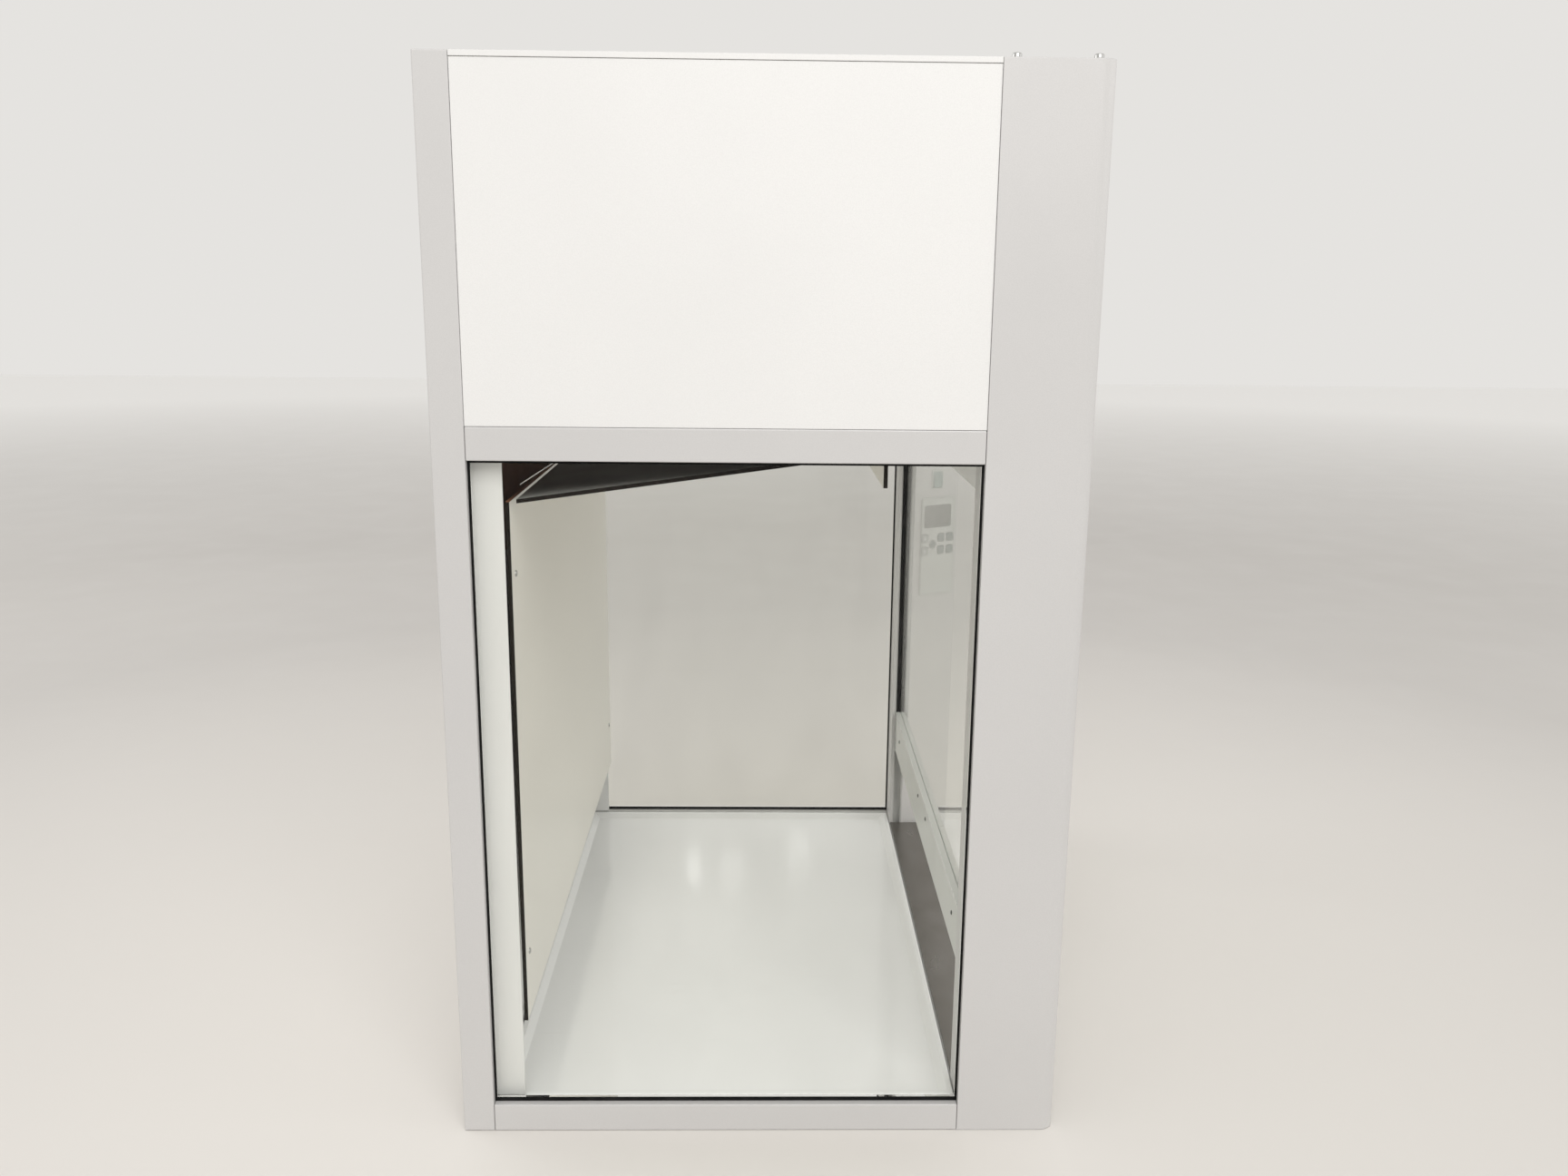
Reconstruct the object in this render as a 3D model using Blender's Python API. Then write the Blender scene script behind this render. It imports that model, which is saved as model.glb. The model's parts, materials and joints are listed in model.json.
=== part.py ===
"""Bench-top fume hood: cabinet frame, glazed sides, counterbalanced vertical sash, baffles and controls.

Metres, +Z up. The operator stands on the -Y side, the hood's left side is -X and it rests on z = 0.
"""

import math

import bmesh
import bpy
from mathutils import Matrix, Vector

# Whole hood
HALF_WIDTH = 0.508
HALF_DEPTH = 0.3865
HEIGHT = 1.330
GAP = 0.0005
FIT = 0.0003
EDGE_ROUND = 0.0012

# Frame members
POST_SIZE = 0.040
POST_FRONT_Y = HALF_DEPTH - POST_SIZE + 0.0005
COLUMN_REAR_Y = -0.260
REVEAL_X = 0.438
FLARE_START_Y = -0.285
FLARE_ANGLE = math.radians(30)
NOSE_SIDE_RADIUS = 0.022
NOSE_SIDE_SWEEP = math.radians(50)
CAP_SCREW_INSET = 0.016
CAP_SCREW_RADIUS = 0.0052
CAP_SCREW_Y = (-0.277, -0.3685)
BOTTOM_RAIL_TOP = 0.0373
RAIL_WIDTH = 0.025
MID_RAIL_BOTTOM = 0.8815
MID_RAIL_TOP = 0.921
BASE_RAIL_FRONT_Y = -0.3200
BASE_RAIL_TOP = 0.0290
ROOF_THICKNESS = 0.0065
ROOF_BOTTOM = HEIGHT - ROOF_THICKNESS
SHEET = 0.002
HEADER_BOTTOM = 0.845
HEADER_FRONT_Y = -0.352
HEADER_LIP_REAR_Y = -0.296

# Side windows, set back from the outer face
WINDOW_OUTER_X = HALF_WIDTH - 0.0098
WINDOW_THICKNESS = 0.006
GASKET_SIDE = 0.0022
GASKET_TOP = 0.0025
GASKET_BOTTOM = 0.0047

# Inside linings of dark-cored board
BOARD = 0.005
BOARD_HALF_WIDTH = 0.479
REAR_BAFFLE_FRONT_Y = 0.303
REAR_BAFFLE_BOTTOM = 0.144
REAR_BAFFLE_TOP = 0.829
UPPER_BAFFLE_REAR_Y = 0.2945
UPPER_BAFFLE_FRONT_Y = -0.1420
UPPER_BAFFLE_REAR_Z = 0.8275
UPPER_BAFFLE_SLOPE = math.tan(math.radians(8.1))
CEILING_BOARD_REAR_Y = -0.143
CEILING_BOARD_BOTTOM = 0.849
CEILING_BOARD_TOP = 0.965
REAR_LINER_X = (0.4810, 0.4835)
REAR_LINER_HEIGHTS = (0.0380, 0.8800)
INNER_HEADER_HEIGHTS = (0.843, 1.268)
LAMP_HALF_WIDTH = 0.440
LAMP_HEIGHTS = (0.8855, 0.950)
LENS_HEIGHTS = (0.880, 0.885)

# Work tray and front sill
TRAY_HALF_WIDTH = 0.4805
TRAY_FRONT_Y = -0.2590
TRAY_REAR_Y = 0.3440
TRAY_TOP = 0.0365
TRAY_FLOOR = 0.0290
TRAY_UNDERSIDE = 0.0235
SILL_TOP = 0.0330
SILL_HALF_WIDTH = REVEAL_X - GAP

# Sash, at the height it is left at
GLASS_Y = -0.2782
GLASS_THICKNESS = 0.005
GLASS_HALF_WIDTH = 0.4525
SASH_HALF_WIDTH = 0.436
SASH_LOWER_EDGE = 0.149
SASH_PULL_TOP = 0.267
SASH_TOP = 0.969
SASH_REAR_Y = -0.2665
GROOVE_REAR_Y = -0.2665
GROOVE_FRONT_Y = -0.2825
GROOVE_DEPTH = 0.020
TRACK_WALL = 0.0010
SASH_FRONT_WALL = 0.0025

# Counterbalance
CABLE_X = 0.400
CABLE_RADIUS = 0.0015
CABLE_FRONT_Y = -0.2865
CABLE_REAR_Y = 0.3290
CABLE_FRONT_END = 0.858
CABLE_REAR_END = 0.295
PULLEY_PITCH_RADIUS = 0.018
PULLEY_FLANGE_RADIUS = 0.0205
PULLEY_WIDTH = 0.010
PULLEY_Z = 1.294
AXLE_RADIUS = 0.004
WEIGHT_HALF_WIDTH = 0.420
WEIGHT_BOTTOM = 0.610
WEIGHT_TOP = 0.682
FRONT_PULLEY_Y = CABLE_FRONT_Y + PULLEY_PITCH_RADIUS
REAR_PULLEY_Y = CABLE_REAR_Y - PULLEY_PITCH_RADIUS

# Exhaust collar
COLLAR_Y = 0.110
COLLAR_RADIUS = 0.125
COLLAR_WALL = 0.0015
COLLAR_TOP = 1.375

# Controls, measured along the flared face from its rear edge and up from the base
PANEL_SPAN = (0.0287, 0.1085)
PANEL_HEIGHTS = (0.500, 0.692)
PANEL_THICKNESS = 0.0040
DISPLAY_SPAN = (0.0346, 0.0983)
DISPLAY_HEIGHTS = (0.6335, 0.6765)
KEY_WIDTH = 0.0140
KEY_REST = (0.0018, 0.0052)
KEY_CLEARANCE = 0.0005
SWITCH_CENTRE = (0.0652, 0.7258)
SWITCH_SIZE = (0.0235, 0.0325)
SWITCH_TILT = math.radians(6)
ARROW_COLUMN = 0.0367
MIDDLE_COLUMN = 0.0557
LEFT_MODE_COLUMN = 0.0755
RIGHT_MODE_COLUMN = 0.0966
UPPER_KEY_ROW = 0.6125
MIDDLE_KEY_ROW = 0.6000
LOWER_KEY_ROW = 0.5880
KEYS = {
    "key_up": (ARROW_COLUMN, UPPER_KEY_ROW),
    "key_down": (ARROW_COLUMN, LOWER_KEY_ROW),
    "key_enter": (MIDDLE_COLUMN, MIDDLE_KEY_ROW),
    "key_light": (LEFT_MODE_COLUMN, UPPER_KEY_ROW),
    "key_fan": (RIGHT_MODE_COLUMN, UPPER_KEY_ROW),
    "key_mute": (LEFT_MODE_COLUMN, LOWER_KEY_ROW),
    "key_menu": (RIGHT_MODE_COLUMN, LOWER_KEY_ROW),
}
ROUND_KEY = "key_enter"

SIDES = {"left": -1, "right": 1}

FINISHES = {
    "silver_paint": ((0.60, 0.59, 0.60), 0.45, 0.35),
    "white_paint": ((0.83, 0.83, 0.80), 0.45, 0.0),
    "tray_white": ((0.84, 0.85, 0.83), 0.15, 0.0),
    "stainless": ((0.55, 0.53, 0.50), 0.30, 1.0),
    "window_glass": ((0.78, 0.84, 0.80), 0.03, 0.0),
    "black_rubber": ((0.02, 0.02, 0.02), 0.70, 0.0),
    "liner_board": ((0.78, 0.77, 0.72), 0.35, 0.0),
    "sash_paint": ((0.72, 0.73, 0.71), 0.40, 0.0),
    "track_grey": ((0.16, 0.16, 0.16), 0.60, 0.0),
    "steel": ((0.42, 0.42, 0.43), 0.40, 1.0),
    "cast_weight": ((0.12, 0.12, 0.13), 0.65, 0.6),
    "lens_white": ((0.86, 0.87, 0.86), 0.40, 0.0),
    "panel_plastic": ((0.66, 0.69, 0.66), 0.45, 0.0),
    "display_grey": ((0.33, 0.35, 0.31), 0.12, 0.0),
    "key_plastic": ((0.74, 0.76, 0.74), 0.50, 0.0),
    "switch_green": ((0.33, 0.42, 0.38), 0.30, 0.0),
}


def material(name):
    found = bpy.data.materials.get(name)
    if found:
        return found
    colour, roughness, metallic = FINISHES[name]
    made = bpy.data.materials.new(name)
    made.use_nodes = True
    shader = made.node_tree.nodes["Principled BSDF"]
    shader.inputs["Base Color"].default_value = (*colour, 1)
    shader.inputs["Roughness"].default_value = roughness
    shader.inputs["Metallic"].default_value = metallic
    return made


def new_object(name, mesh, finish=None):
    made = bpy.data.objects.new(name, mesh)
    bpy.context.scene.collection.objects.link(made)
    if finish:
        mesh.materials.append(material(finish))
    return made


def prism(name, outline, low, high, axis, finish=None):
    """Extrudes a plane outline along X, Y or Z; the outline runs in the order of the two other axes."""
    mesh = bpy.data.meshes.new(name)
    shape = bmesh.new()
    place = {
        "X": lambda a, b: (low, a, b),
        "Y": lambda a, b: (a, low, b),
        "Z": lambda a, b: (a, b, low),
    }[axis]
    face = shape.faces.new([shape.verts.new(place(a, b)) for a, b in outline])
    push = {"X": Vector((1, 0, 0)), "Y": Vector((0, 1, 0)), "Z": Vector((0, 0, 1))}[axis]
    top = bmesh.ops.extrude_face_region(shape, geom=[face])["geom"]
    moved = [item for item in top if isinstance(item, bmesh.types.BMVert)]
    bmesh.ops.translate(shape, verts=moved, vec=push * (high - low))
    bmesh.ops.recalc_face_normals(shape, faces=shape.faces[:])
    shape.to_mesh(mesh)
    shape.free()
    return new_object(name, mesh, finish)


def box(name, x_range, y_range, z_range, finish=None, round_edges=0.0):
    outline = [
        (x_range[0], y_range[0]),
        (x_range[1], y_range[0]),
        (x_range[1], y_range[1]),
        (x_range[0], y_range[1]),
    ]
    made = prism(name, outline, z_range[0], z_range[1], "Z", finish)
    if round_edges:
        bevel(made, round_edges)
    return made


def side_range(side, inner, outer):
    """The X range between two distances from the middle, on the side that -1 or 1 names."""
    return tuple(sorted((side * inner, side * outer)))


def bevel(target, width, segments=2, angle=math.radians(40)):
    modifier = target.modifiers.new("rounded_edges", "BEVEL")
    modifier.width = width
    modifier.segments = segments
    modifier.limit_method = "ANGLE"
    modifier.angle_limit = angle


def cylinder(name, start, end, radius, sides, finish=None):
    """A closed round bar between two points."""
    start, end = Vector(start), Vector(end)
    along = end - start
    mesh = bpy.data.meshes.new(name)
    shape = bmesh.new()
    turn = along.to_track_quat("Z", "Y").to_matrix().to_4x4()
    bmesh.ops.create_cone(
        shape,
        cap_ends=True,
        segments=sides,
        radius1=radius,
        radius2=radius,
        depth=along.length,
        matrix=Matrix.Translation((start + end) / 2) @ turn,
    )
    shape.to_mesh(mesh)
    shape.free()
    made = new_object(name, mesh, finish)
    smooth(made)
    return made


def smooth(target):
    target.data.shade_smooth()
    target.data.set_sharp_from_angle(angle=math.radians(35))


def turned(name, profile, steps, finish):
    """Turns a closed (radius, height) outline about the Z axis through the origin."""
    mesh = bpy.data.meshes.new(name)
    shape = bmesh.new()
    loops = []
    for step in range(steps):
        angle = 2 * math.pi * step / steps
        ring = [(r * math.cos(angle), r * math.sin(angle), z) for r, z in profile]
        loops.append([shape.verts.new(point) for point in ring])
    count = len(profile)
    for step in range(steps):
        here, there = loops[step], loops[(step + 1) % steps]
        for i in range(count):
            j = (i + 1) % count
            shape.faces.new((here[i], here[j], there[j], there[i]))
    bmesh.ops.recalc_face_normals(shape, faces=shape.faces[:])
    shape.to_mesh(mesh)
    shape.free()
    made = new_object(name, mesh, finish)
    smooth(made)
    return made


def combine(target, tool, operation):
    modifier = target.modifiers.new(tool.name, "BOOLEAN")
    modifier.operation = operation
    modifier.object = tool
    tool.hide_render = True
    tool.display_type = "WIRE"


def cut(target, tool):
    combine(target, tool, "DIFFERENCE")


def join(target, tool):
    combine(target, tool, "UNION")


def set_origin(target, point):
    """Puts the object's origin on its joint axis without moving the shape."""
    target.data.transform(Matrix.Translation(-Vector(point)))
    target.location = point


def flared_point(side, along, outward, height):
    """A point on a column's flared face: along it from its rear edge, and out from it towards the user."""
    x = REVEAL_X + along * math.sin(FLARE_ANGLE) - outward * math.cos(FLARE_ANGLE)
    y = FLARE_START_Y - along * math.cos(FLARE_ANGLE) - outward * math.sin(FLARE_ANGLE)
    return Vector((side * x, y, height))


def flared_matrix(side, along, height):
    """Local axes on the flared face: X along it, Y out of it, Z up."""
    run = (flared_point(side, 1, 0, 0) - flared_point(side, 0, 0, 0)).normalized()
    out = (flared_point(side, 0, 1, 0) - flared_point(side, 0, 0, 0)).normalized()
    turn = Matrix((run, out, Vector((0, 0, 1)))).transposed().to_4x4()
    return Matrix.Translation(flared_point(side, along, 0, height)) @ turn


def flared_plate(name, centre, size, layer, finish=None, corner=0.0, sides=4):
    """A plate lying on the right column's flared face; layer is its lowest and highest level above it."""
    along, height = centre
    half_x, half_z = size[0] / 2, size[1] / 2
    outline = []
    for quarter, (sx, sz) in enumerate(((1, 1), (-1, 1), (-1, -1), (1, -1))):
        cx, cz = sx * (half_x - corner), sz * (half_z - corner)
        for step in range(sides + 1 if corner else 1):
            angle = math.pi / 2 * (quarter + step / sides)
            outline.append((cx + corner * math.cos(angle), cz + corner * math.sin(angle)))
    made = prism(name, outline, layer[0], layer[1], "Y", finish)
    made.data.transform(flared_matrix(1, along, height))
    shape = bmesh.new()
    shape.from_mesh(made.data)
    bmesh.ops.recalc_face_normals(shape, faces=shape.faces[:])
    shape.to_mesh(made.data)
    shape.free()
    return made


def arc(centre, radius, start, end, steps):
    points = []
    for step in range(steps + 1):
        angle = start + (end - start) * step / steps
        points.append((centre[0] + radius * math.cos(angle), centre[1] + radius * math.sin(angle)))
    return points


def column_outline():
    """Plan of the right column: square at the back, then flared to a rounded nose."""
    flare_normal = Vector((math.cos(FLARE_ANGLE), math.sin(FLARE_ANGLE)))
    start = Vector((REVEAL_X, FLARE_START_Y))
    side_normal = Vector((-math.cos(NOSE_SIDE_SWEEP), math.sin(NOSE_SIDE_SWEEP)))
    join_x = HALF_WIDTH - NOSE_SIDE_RADIUS * (1 - math.cos(NOSE_SIDE_SWEEP))
    spread = 1 / (1 - side_normal.dot(flare_normal))
    pull = spread * (1 - side_normal.y)
    reach = flare_normal.x * (join_x - start.x) - flare_normal.y * start.y
    join_y = (-HALF_DEPTH + pull * reach) / (1 - pull * flare_normal.y)
    joint = Vector((join_x, join_y))
    tip_radius = spread * flare_normal.dot(joint - start)
    tip_centre = joint + tip_radius * side_normal
    side_centre = (HALF_WIDTH - NOSE_SIDE_RADIUS, join_y + NOSE_SIDE_RADIUS * math.sin(NOSE_SIDE_SWEEP))
    side_arc = arc(side_centre, NOSE_SIDE_RADIUS, 0, -NOSE_SIDE_SWEEP, 6)
    tip_end = -(math.pi - FLARE_ANGLE)
    tip_arc = arc(tip_centre, tip_radius, -NOSE_SIDE_SWEEP, tip_end, 8)
    return [
        (HALF_WIDTH, COLUMN_REAR_Y),
        *side_arc,
        *tip_arc[1:],
        (REVEAL_X, FLARE_START_Y),
        (REVEAL_X, COLUMN_REAR_Y),
    ]


def front_columns():
    screw_x = HALF_WIDTH - CAP_SCREW_INSET
    for label, side in SIDES.items():
        outline = [(side * x, y) for x, y in column_outline()]
        column = prism(f"front_column_{label}", outline, 0, HEIGHT, "Z", "silver_paint")
        smooth(column)
        groove = box(
            f"sash_groove_{label}",
            side_range(side, REVEAL_X - 0.050, REVEAL_X + GROOVE_DEPTH),
            (GROOVE_FRONT_Y, GROOVE_REAR_Y),
            (-0.050, ROOF_BOTTOM),
        )
        cut(column, groove)
        for number, y in enumerate(CAP_SCREW_Y):
            head = cylinder(
                f"cap_screw_{label}_{number}",
                (side * screw_x, y, HEIGHT - 0.004),
                (side * screw_x, y, HEIGHT + 0.0055),
                CAP_SCREW_RADIUS,
                16,
            )
            join(column, head)
        if label == "right":
            pocket = flared_plate(
                "switch_pocket",
                SWITCH_CENTRE,
                (SWITCH_SIZE[0] + 0.001, SWITCH_SIZE[1] + 0.001),
                (-0.012, 0.004),
            )
            cut(column, pocket)


def frame_rails():
    rail_y = (COLUMN_REAR_Y + GAP, POST_FRONT_Y - GAP)
    for label, side in SIDES.items():
        post_x = side_range(side, HALF_WIDTH - POST_SIZE, HALF_WIDTH)
        box(
            f"rear_post_{label}",
            post_x,
            (POST_FRONT_Y, HALF_DEPTH),
            (0, HEIGHT),
            "silver_paint",
            EDGE_ROUND,
        )
        rail_x = side_range(side, HALF_WIDTH - RAIL_WIDTH, HALF_WIDTH)
        rail_heights = {"bottom": (0, BOTTOM_RAIL_TOP), "mid": (MID_RAIL_BOTTOM, MID_RAIL_TOP)}
        for level, heights in rail_heights.items():
            box(f"{level}_rail_{label}", rail_x, rail_y, heights, "silver_paint", EDGE_ROUND)
    cross = HALF_WIDTH - POST_SIZE - GAP
    rear_y = (POST_FRONT_Y, HALF_DEPTH)
    box("rear_bottom_rail", (-cross, cross), rear_y, (0, POST_SIZE), "silver_paint", EDGE_ROUND)
    box("rear_top_rail", (-cross, cross), rear_y, (HEIGHT - POST_SIZE, HEIGHT), "silver_paint", EDGE_ROUND)
    box(
        "front_base_rail",
        (-SILL_HALF_WIDTH, SILL_HALF_WIDTH),
        (BASE_RAIL_FRONT_Y, COLUMN_REAR_Y - GAP),
        (0, BASE_RAIL_TOP),
        "silver_paint",
        EDGE_ROUND,
    )


def outer_skins():
    rail_y = (COLUMN_REAR_Y + GAP, POST_FRONT_Y - GAP)
    for label, side in SIDES.items():
        skin_x = side_range(side, HALF_WIDTH - 0.013, HALF_WIDTH - 0.001)
        skin_z = (MID_RAIL_TOP + GAP, ROOF_BOTTOM - GAP)
        skin = box(f"upper_side_panel_{label}", skin_x, rail_y, skin_z, "white_paint")
        hollow = box(
            f"upper_side_hollow_{label}",
            side_range(side, 0.40, HALF_WIDTH - 0.001 - SHEET),
            (rail_y[0] + SHEET, rail_y[1] - SHEET),
            (skin_z[0] + SHEET, skin_z[1] - SHEET),
        )
        cut(skin, hollow)
    roof = box("roof_panel", (-HALF_WIDTH, HALF_WIDTH), rail_y, (ROOF_BOTTOM, HEIGHT), "white_paint")
    opening = cylinder(
        "roof_opening",
        (0, COLLAR_Y, ROOF_BOTTOM - 0.05),
        (0, COLLAR_Y, HEIGHT + 0.05),
        COLLAR_RADIUS + GAP,
        48,
    )
    cut(roof, opening)
    cross = HALF_WIDTH - POST_SIZE - GAP
    box(
        "rear_panel",
        (-cross, cross),
        (POST_FRONT_Y + 0.004, POST_FRONT_Y + 0.004 + SHEET),
        (POST_SIZE + GAP, HEIGHT - POST_SIZE - GAP),
        "white_paint",
    )
    base_x = HALF_WIDTH - RAIL_WIDTH - GAP
    box("base_panel", (-base_x, base_x), rail_y, (0.004, TRAY_UNDERSIDE - GAP), "white_paint")


def flare_x(y, clearance=0.0):
    """Half the distance between the columns' flared faces at a depth, less a clearance from each."""
    return REVEAL_X + (FLARE_START_Y - y) * math.tan(FLARE_ANGLE) - clearance / math.cos(FLARE_ANGLE)


def front_header():
    """A folded cover between the columns: front, sides and lower lip, open behind for the sash to rise."""
    rear_y = COLUMN_REAR_Y - GAP
    outline = [
        (SILL_HALF_WIDTH, rear_y),
        (SILL_HALF_WIDTH, FLARE_START_Y),
        (flare_x(HEADER_FRONT_Y, GAP), HEADER_FRONT_Y),
        (-flare_x(HEADER_FRONT_Y, GAP), HEADER_FRONT_Y),
        (-SILL_HALF_WIDTH, FLARE_START_Y),
        (-SILL_HALF_WIDTH, rear_y),
    ]
    header = prism("front_header", outline, HEADER_BOTTOM, HEIGHT, "Z", "silver_paint")
    lip_y, inner_y = HEADER_LIP_REAR_Y, HEADER_FRONT_Y + SHEET
    lip_x, inner_x = flare_x(lip_y, GAP + SHEET), flare_x(inner_y, GAP + SHEET)
    inner = [
        (0.6, 0.1),
        (0.6, lip_y),
        (lip_x, lip_y),
        (inner_x, inner_y),
        (-inner_x, inner_y),
        (-lip_x, lip_y),
        (-0.6, lip_y),
        (-0.6, 0.1),
    ]
    cut(header, prism("header_hollow", inner, HEADER_BOTTOM + SHEET, ROOF_BOTTOM, "Z"))
    cut(header, box("header_sash_way", (-0.6, 0.6), (lip_y, 0.1), (0.5, ROOF_BOTTOM)))


def glazing():
    frame_y = (COLUMN_REAR_Y + GAP, POST_FRONT_Y - GAP)
    frame_z = (BOTTOM_RAIL_TOP + GAP, MID_RAIL_BOTTOM - GAP)
    for label, side in SIDES.items():
        inner_x = WINDOW_OUTER_X - WINDOW_THICKNESS
        gasket = box(
            f"window_gasket_{label}",
            side_range(side, inner_x - 0.0008, WINDOW_OUTER_X + 0.0008),
            frame_y,
            frame_z,
            "black_rubber",
        )
        opening = box(
            f"gasket_opening_{label}",
            side_range(side, 0.3, 0.7),
            (frame_y[0] + GASKET_SIDE, frame_y[1] - GASKET_SIDE),
            (frame_z[0] + GASKET_BOTTOM, frame_z[1] - GASKET_TOP),
        )
        cut(gasket, opening)
        box(
            f"side_window_{label}",
            side_range(side, inner_x, WINDOW_OUTER_X),
            (frame_y[0] + GASKET_SIDE + GAP, frame_y[1] - GASKET_SIDE - GAP),
            (frame_z[0] + GASKET_BOTTOM + GAP, frame_z[1] - GASKET_TOP - GAP),
            "window_glass",
        )


def tray_and_sill():
    tray = box(
        "work_tray",
        (-TRAY_HALF_WIDTH, TRAY_HALF_WIDTH),
        (TRAY_FRONT_Y, TRAY_REAR_Y),
        (TRAY_UNDERSIDE, TRAY_TOP),
        "tray_white",
    )
    bevel(tray, 0.0025, 3)
    lip, slope = 0.008, 0.010
    mesh = bpy.data.meshes.new("tray_dish")
    shape = bmesh.new()
    rings = []
    steepness = slope / (TRAY_TOP - TRAY_FLOOR)
    rise = 0.004
    for inset, z in ((lip + slope, TRAY_FLOOR), (lip - rise * steepness, TRAY_TOP + rise)):
        x, front, rear = TRAY_HALF_WIDTH - inset, TRAY_FRONT_Y + inset, TRAY_REAR_Y - inset
        corners = ((x, front), (x, rear), (-x, rear), (-x, front))
        rings.append([shape.verts.new((cx, cy, z)) for cx, cy in corners])
    shape.faces.new(rings[0])
    shape.faces.new(rings[1])
    for i in range(4):
        j = (i + 1) % 4
        shape.faces.new((rings[0][i], rings[0][j], rings[1][j], rings[1][i]))
    bmesh.ops.recalc_face_normals(shape, faces=shape.faces[:])
    shape.to_mesh(mesh)
    shape.free()
    cut(tray, new_object("tray_dish", mesh))
    sill_rear, fold, nose, tip = COLUMN_REAR_Y - 0.0025, -0.3280, -0.3560, -0.3640
    outline = [
        (sill_rear, SILL_TOP),
        (fold, SILL_TOP),
        (nose, SILL_TOP - 0.009),
        (tip, SILL_TOP - 0.020),
        (tip + 0.003, SILL_TOP - 0.021),
        (nose + 0.002, SILL_TOP - 0.0115),
        (fold + 0.001, SILL_TOP - 0.003),
        (sill_rear, SILL_TOP - 0.003),
    ]
    prism("front_sill", outline, -SILL_HALF_WIDTH, SILL_HALF_WIDTH, "X", "stainless")


def linings():
    width = (-BOARD_HALF_WIDTH, BOARD_HALF_WIDTH)
    rear_y = (REAR_BAFFLE_FRONT_Y, REAR_BAFFLE_FRONT_Y + BOARD)
    box("rear_baffle", width, rear_y, (REAR_BAFFLE_BOTTOM, REAR_BAFFLE_TOP), "liner_board")
    front_z = UPPER_BAFFLE_REAR_Z + UPPER_BAFFLE_SLOPE * (UPPER_BAFFLE_REAR_Y - UPPER_BAFFLE_FRONT_Y)
    outline = [
        (UPPER_BAFFLE_FRONT_Y, front_z),
        (UPPER_BAFFLE_REAR_Y, UPPER_BAFFLE_REAR_Z),
        (UPPER_BAFFLE_REAR_Y, UPPER_BAFFLE_REAR_Z + BOARD),
        (UPPER_BAFFLE_FRONT_Y, front_z + BOARD),
    ]
    prism("upper_baffle", outline, width[0], width[1], "X", "liner_board")
    board_y = (CEILING_BOARD_REAR_Y - BOARD, CEILING_BOARD_REAR_Y)
    box("ceiling_board", width, board_y, (CEILING_BOARD_BOTTOM, CEILING_BOARD_TOP), "liner_board")
    liner_y = (rear_y[1] + 0.0015, POST_FRONT_Y - GAP)
    for label, side in SIDES.items():
        liner_x = side_range(side, *REAR_LINER_X)
        box(f"rear_liner_{label}", liner_x, liner_y, REAR_LINER_HEIGHTS, "white_paint")
    inner_y = (COLUMN_REAR_Y - 0.0045, COLUMN_REAR_Y - GAP)
    inner_x = (-SILL_HALF_WIDTH, SILL_HALF_WIDTH)
    box("inner_header", inner_x, inner_y, INNER_HEADER_HEIGHTS, "white_paint")
    lamp_y = (COLUMN_REAR_Y + 0.003, board_y[0] - 0.002)
    lens_x = (0.010 - LAMP_HALF_WIDTH, LAMP_HALF_WIDTH - 0.010)
    box("lamp_lens", lens_x, (lamp_y[0] + 0.003, lamp_y[1] - 0.003), LENS_HEIGHTS, "lens_white")
    housing = box("lamp_housing", (-LAMP_HALF_WIDTH, LAMP_HALF_WIDTH), lamp_y, LAMP_HEIGHTS, "white_paint")
    hollow = box(
        "lamp_hollow",
        (SHEET - LAMP_HALF_WIDTH, LAMP_HALF_WIDTH - SHEET),
        (lamp_y[0] + SHEET, lamp_y[1] - SHEET),
        (LENS_HEIGHTS[0] - 0.020, LAMP_HEIGHTS[1] - SHEET),
    )
    cut(housing, hollow)


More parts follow.
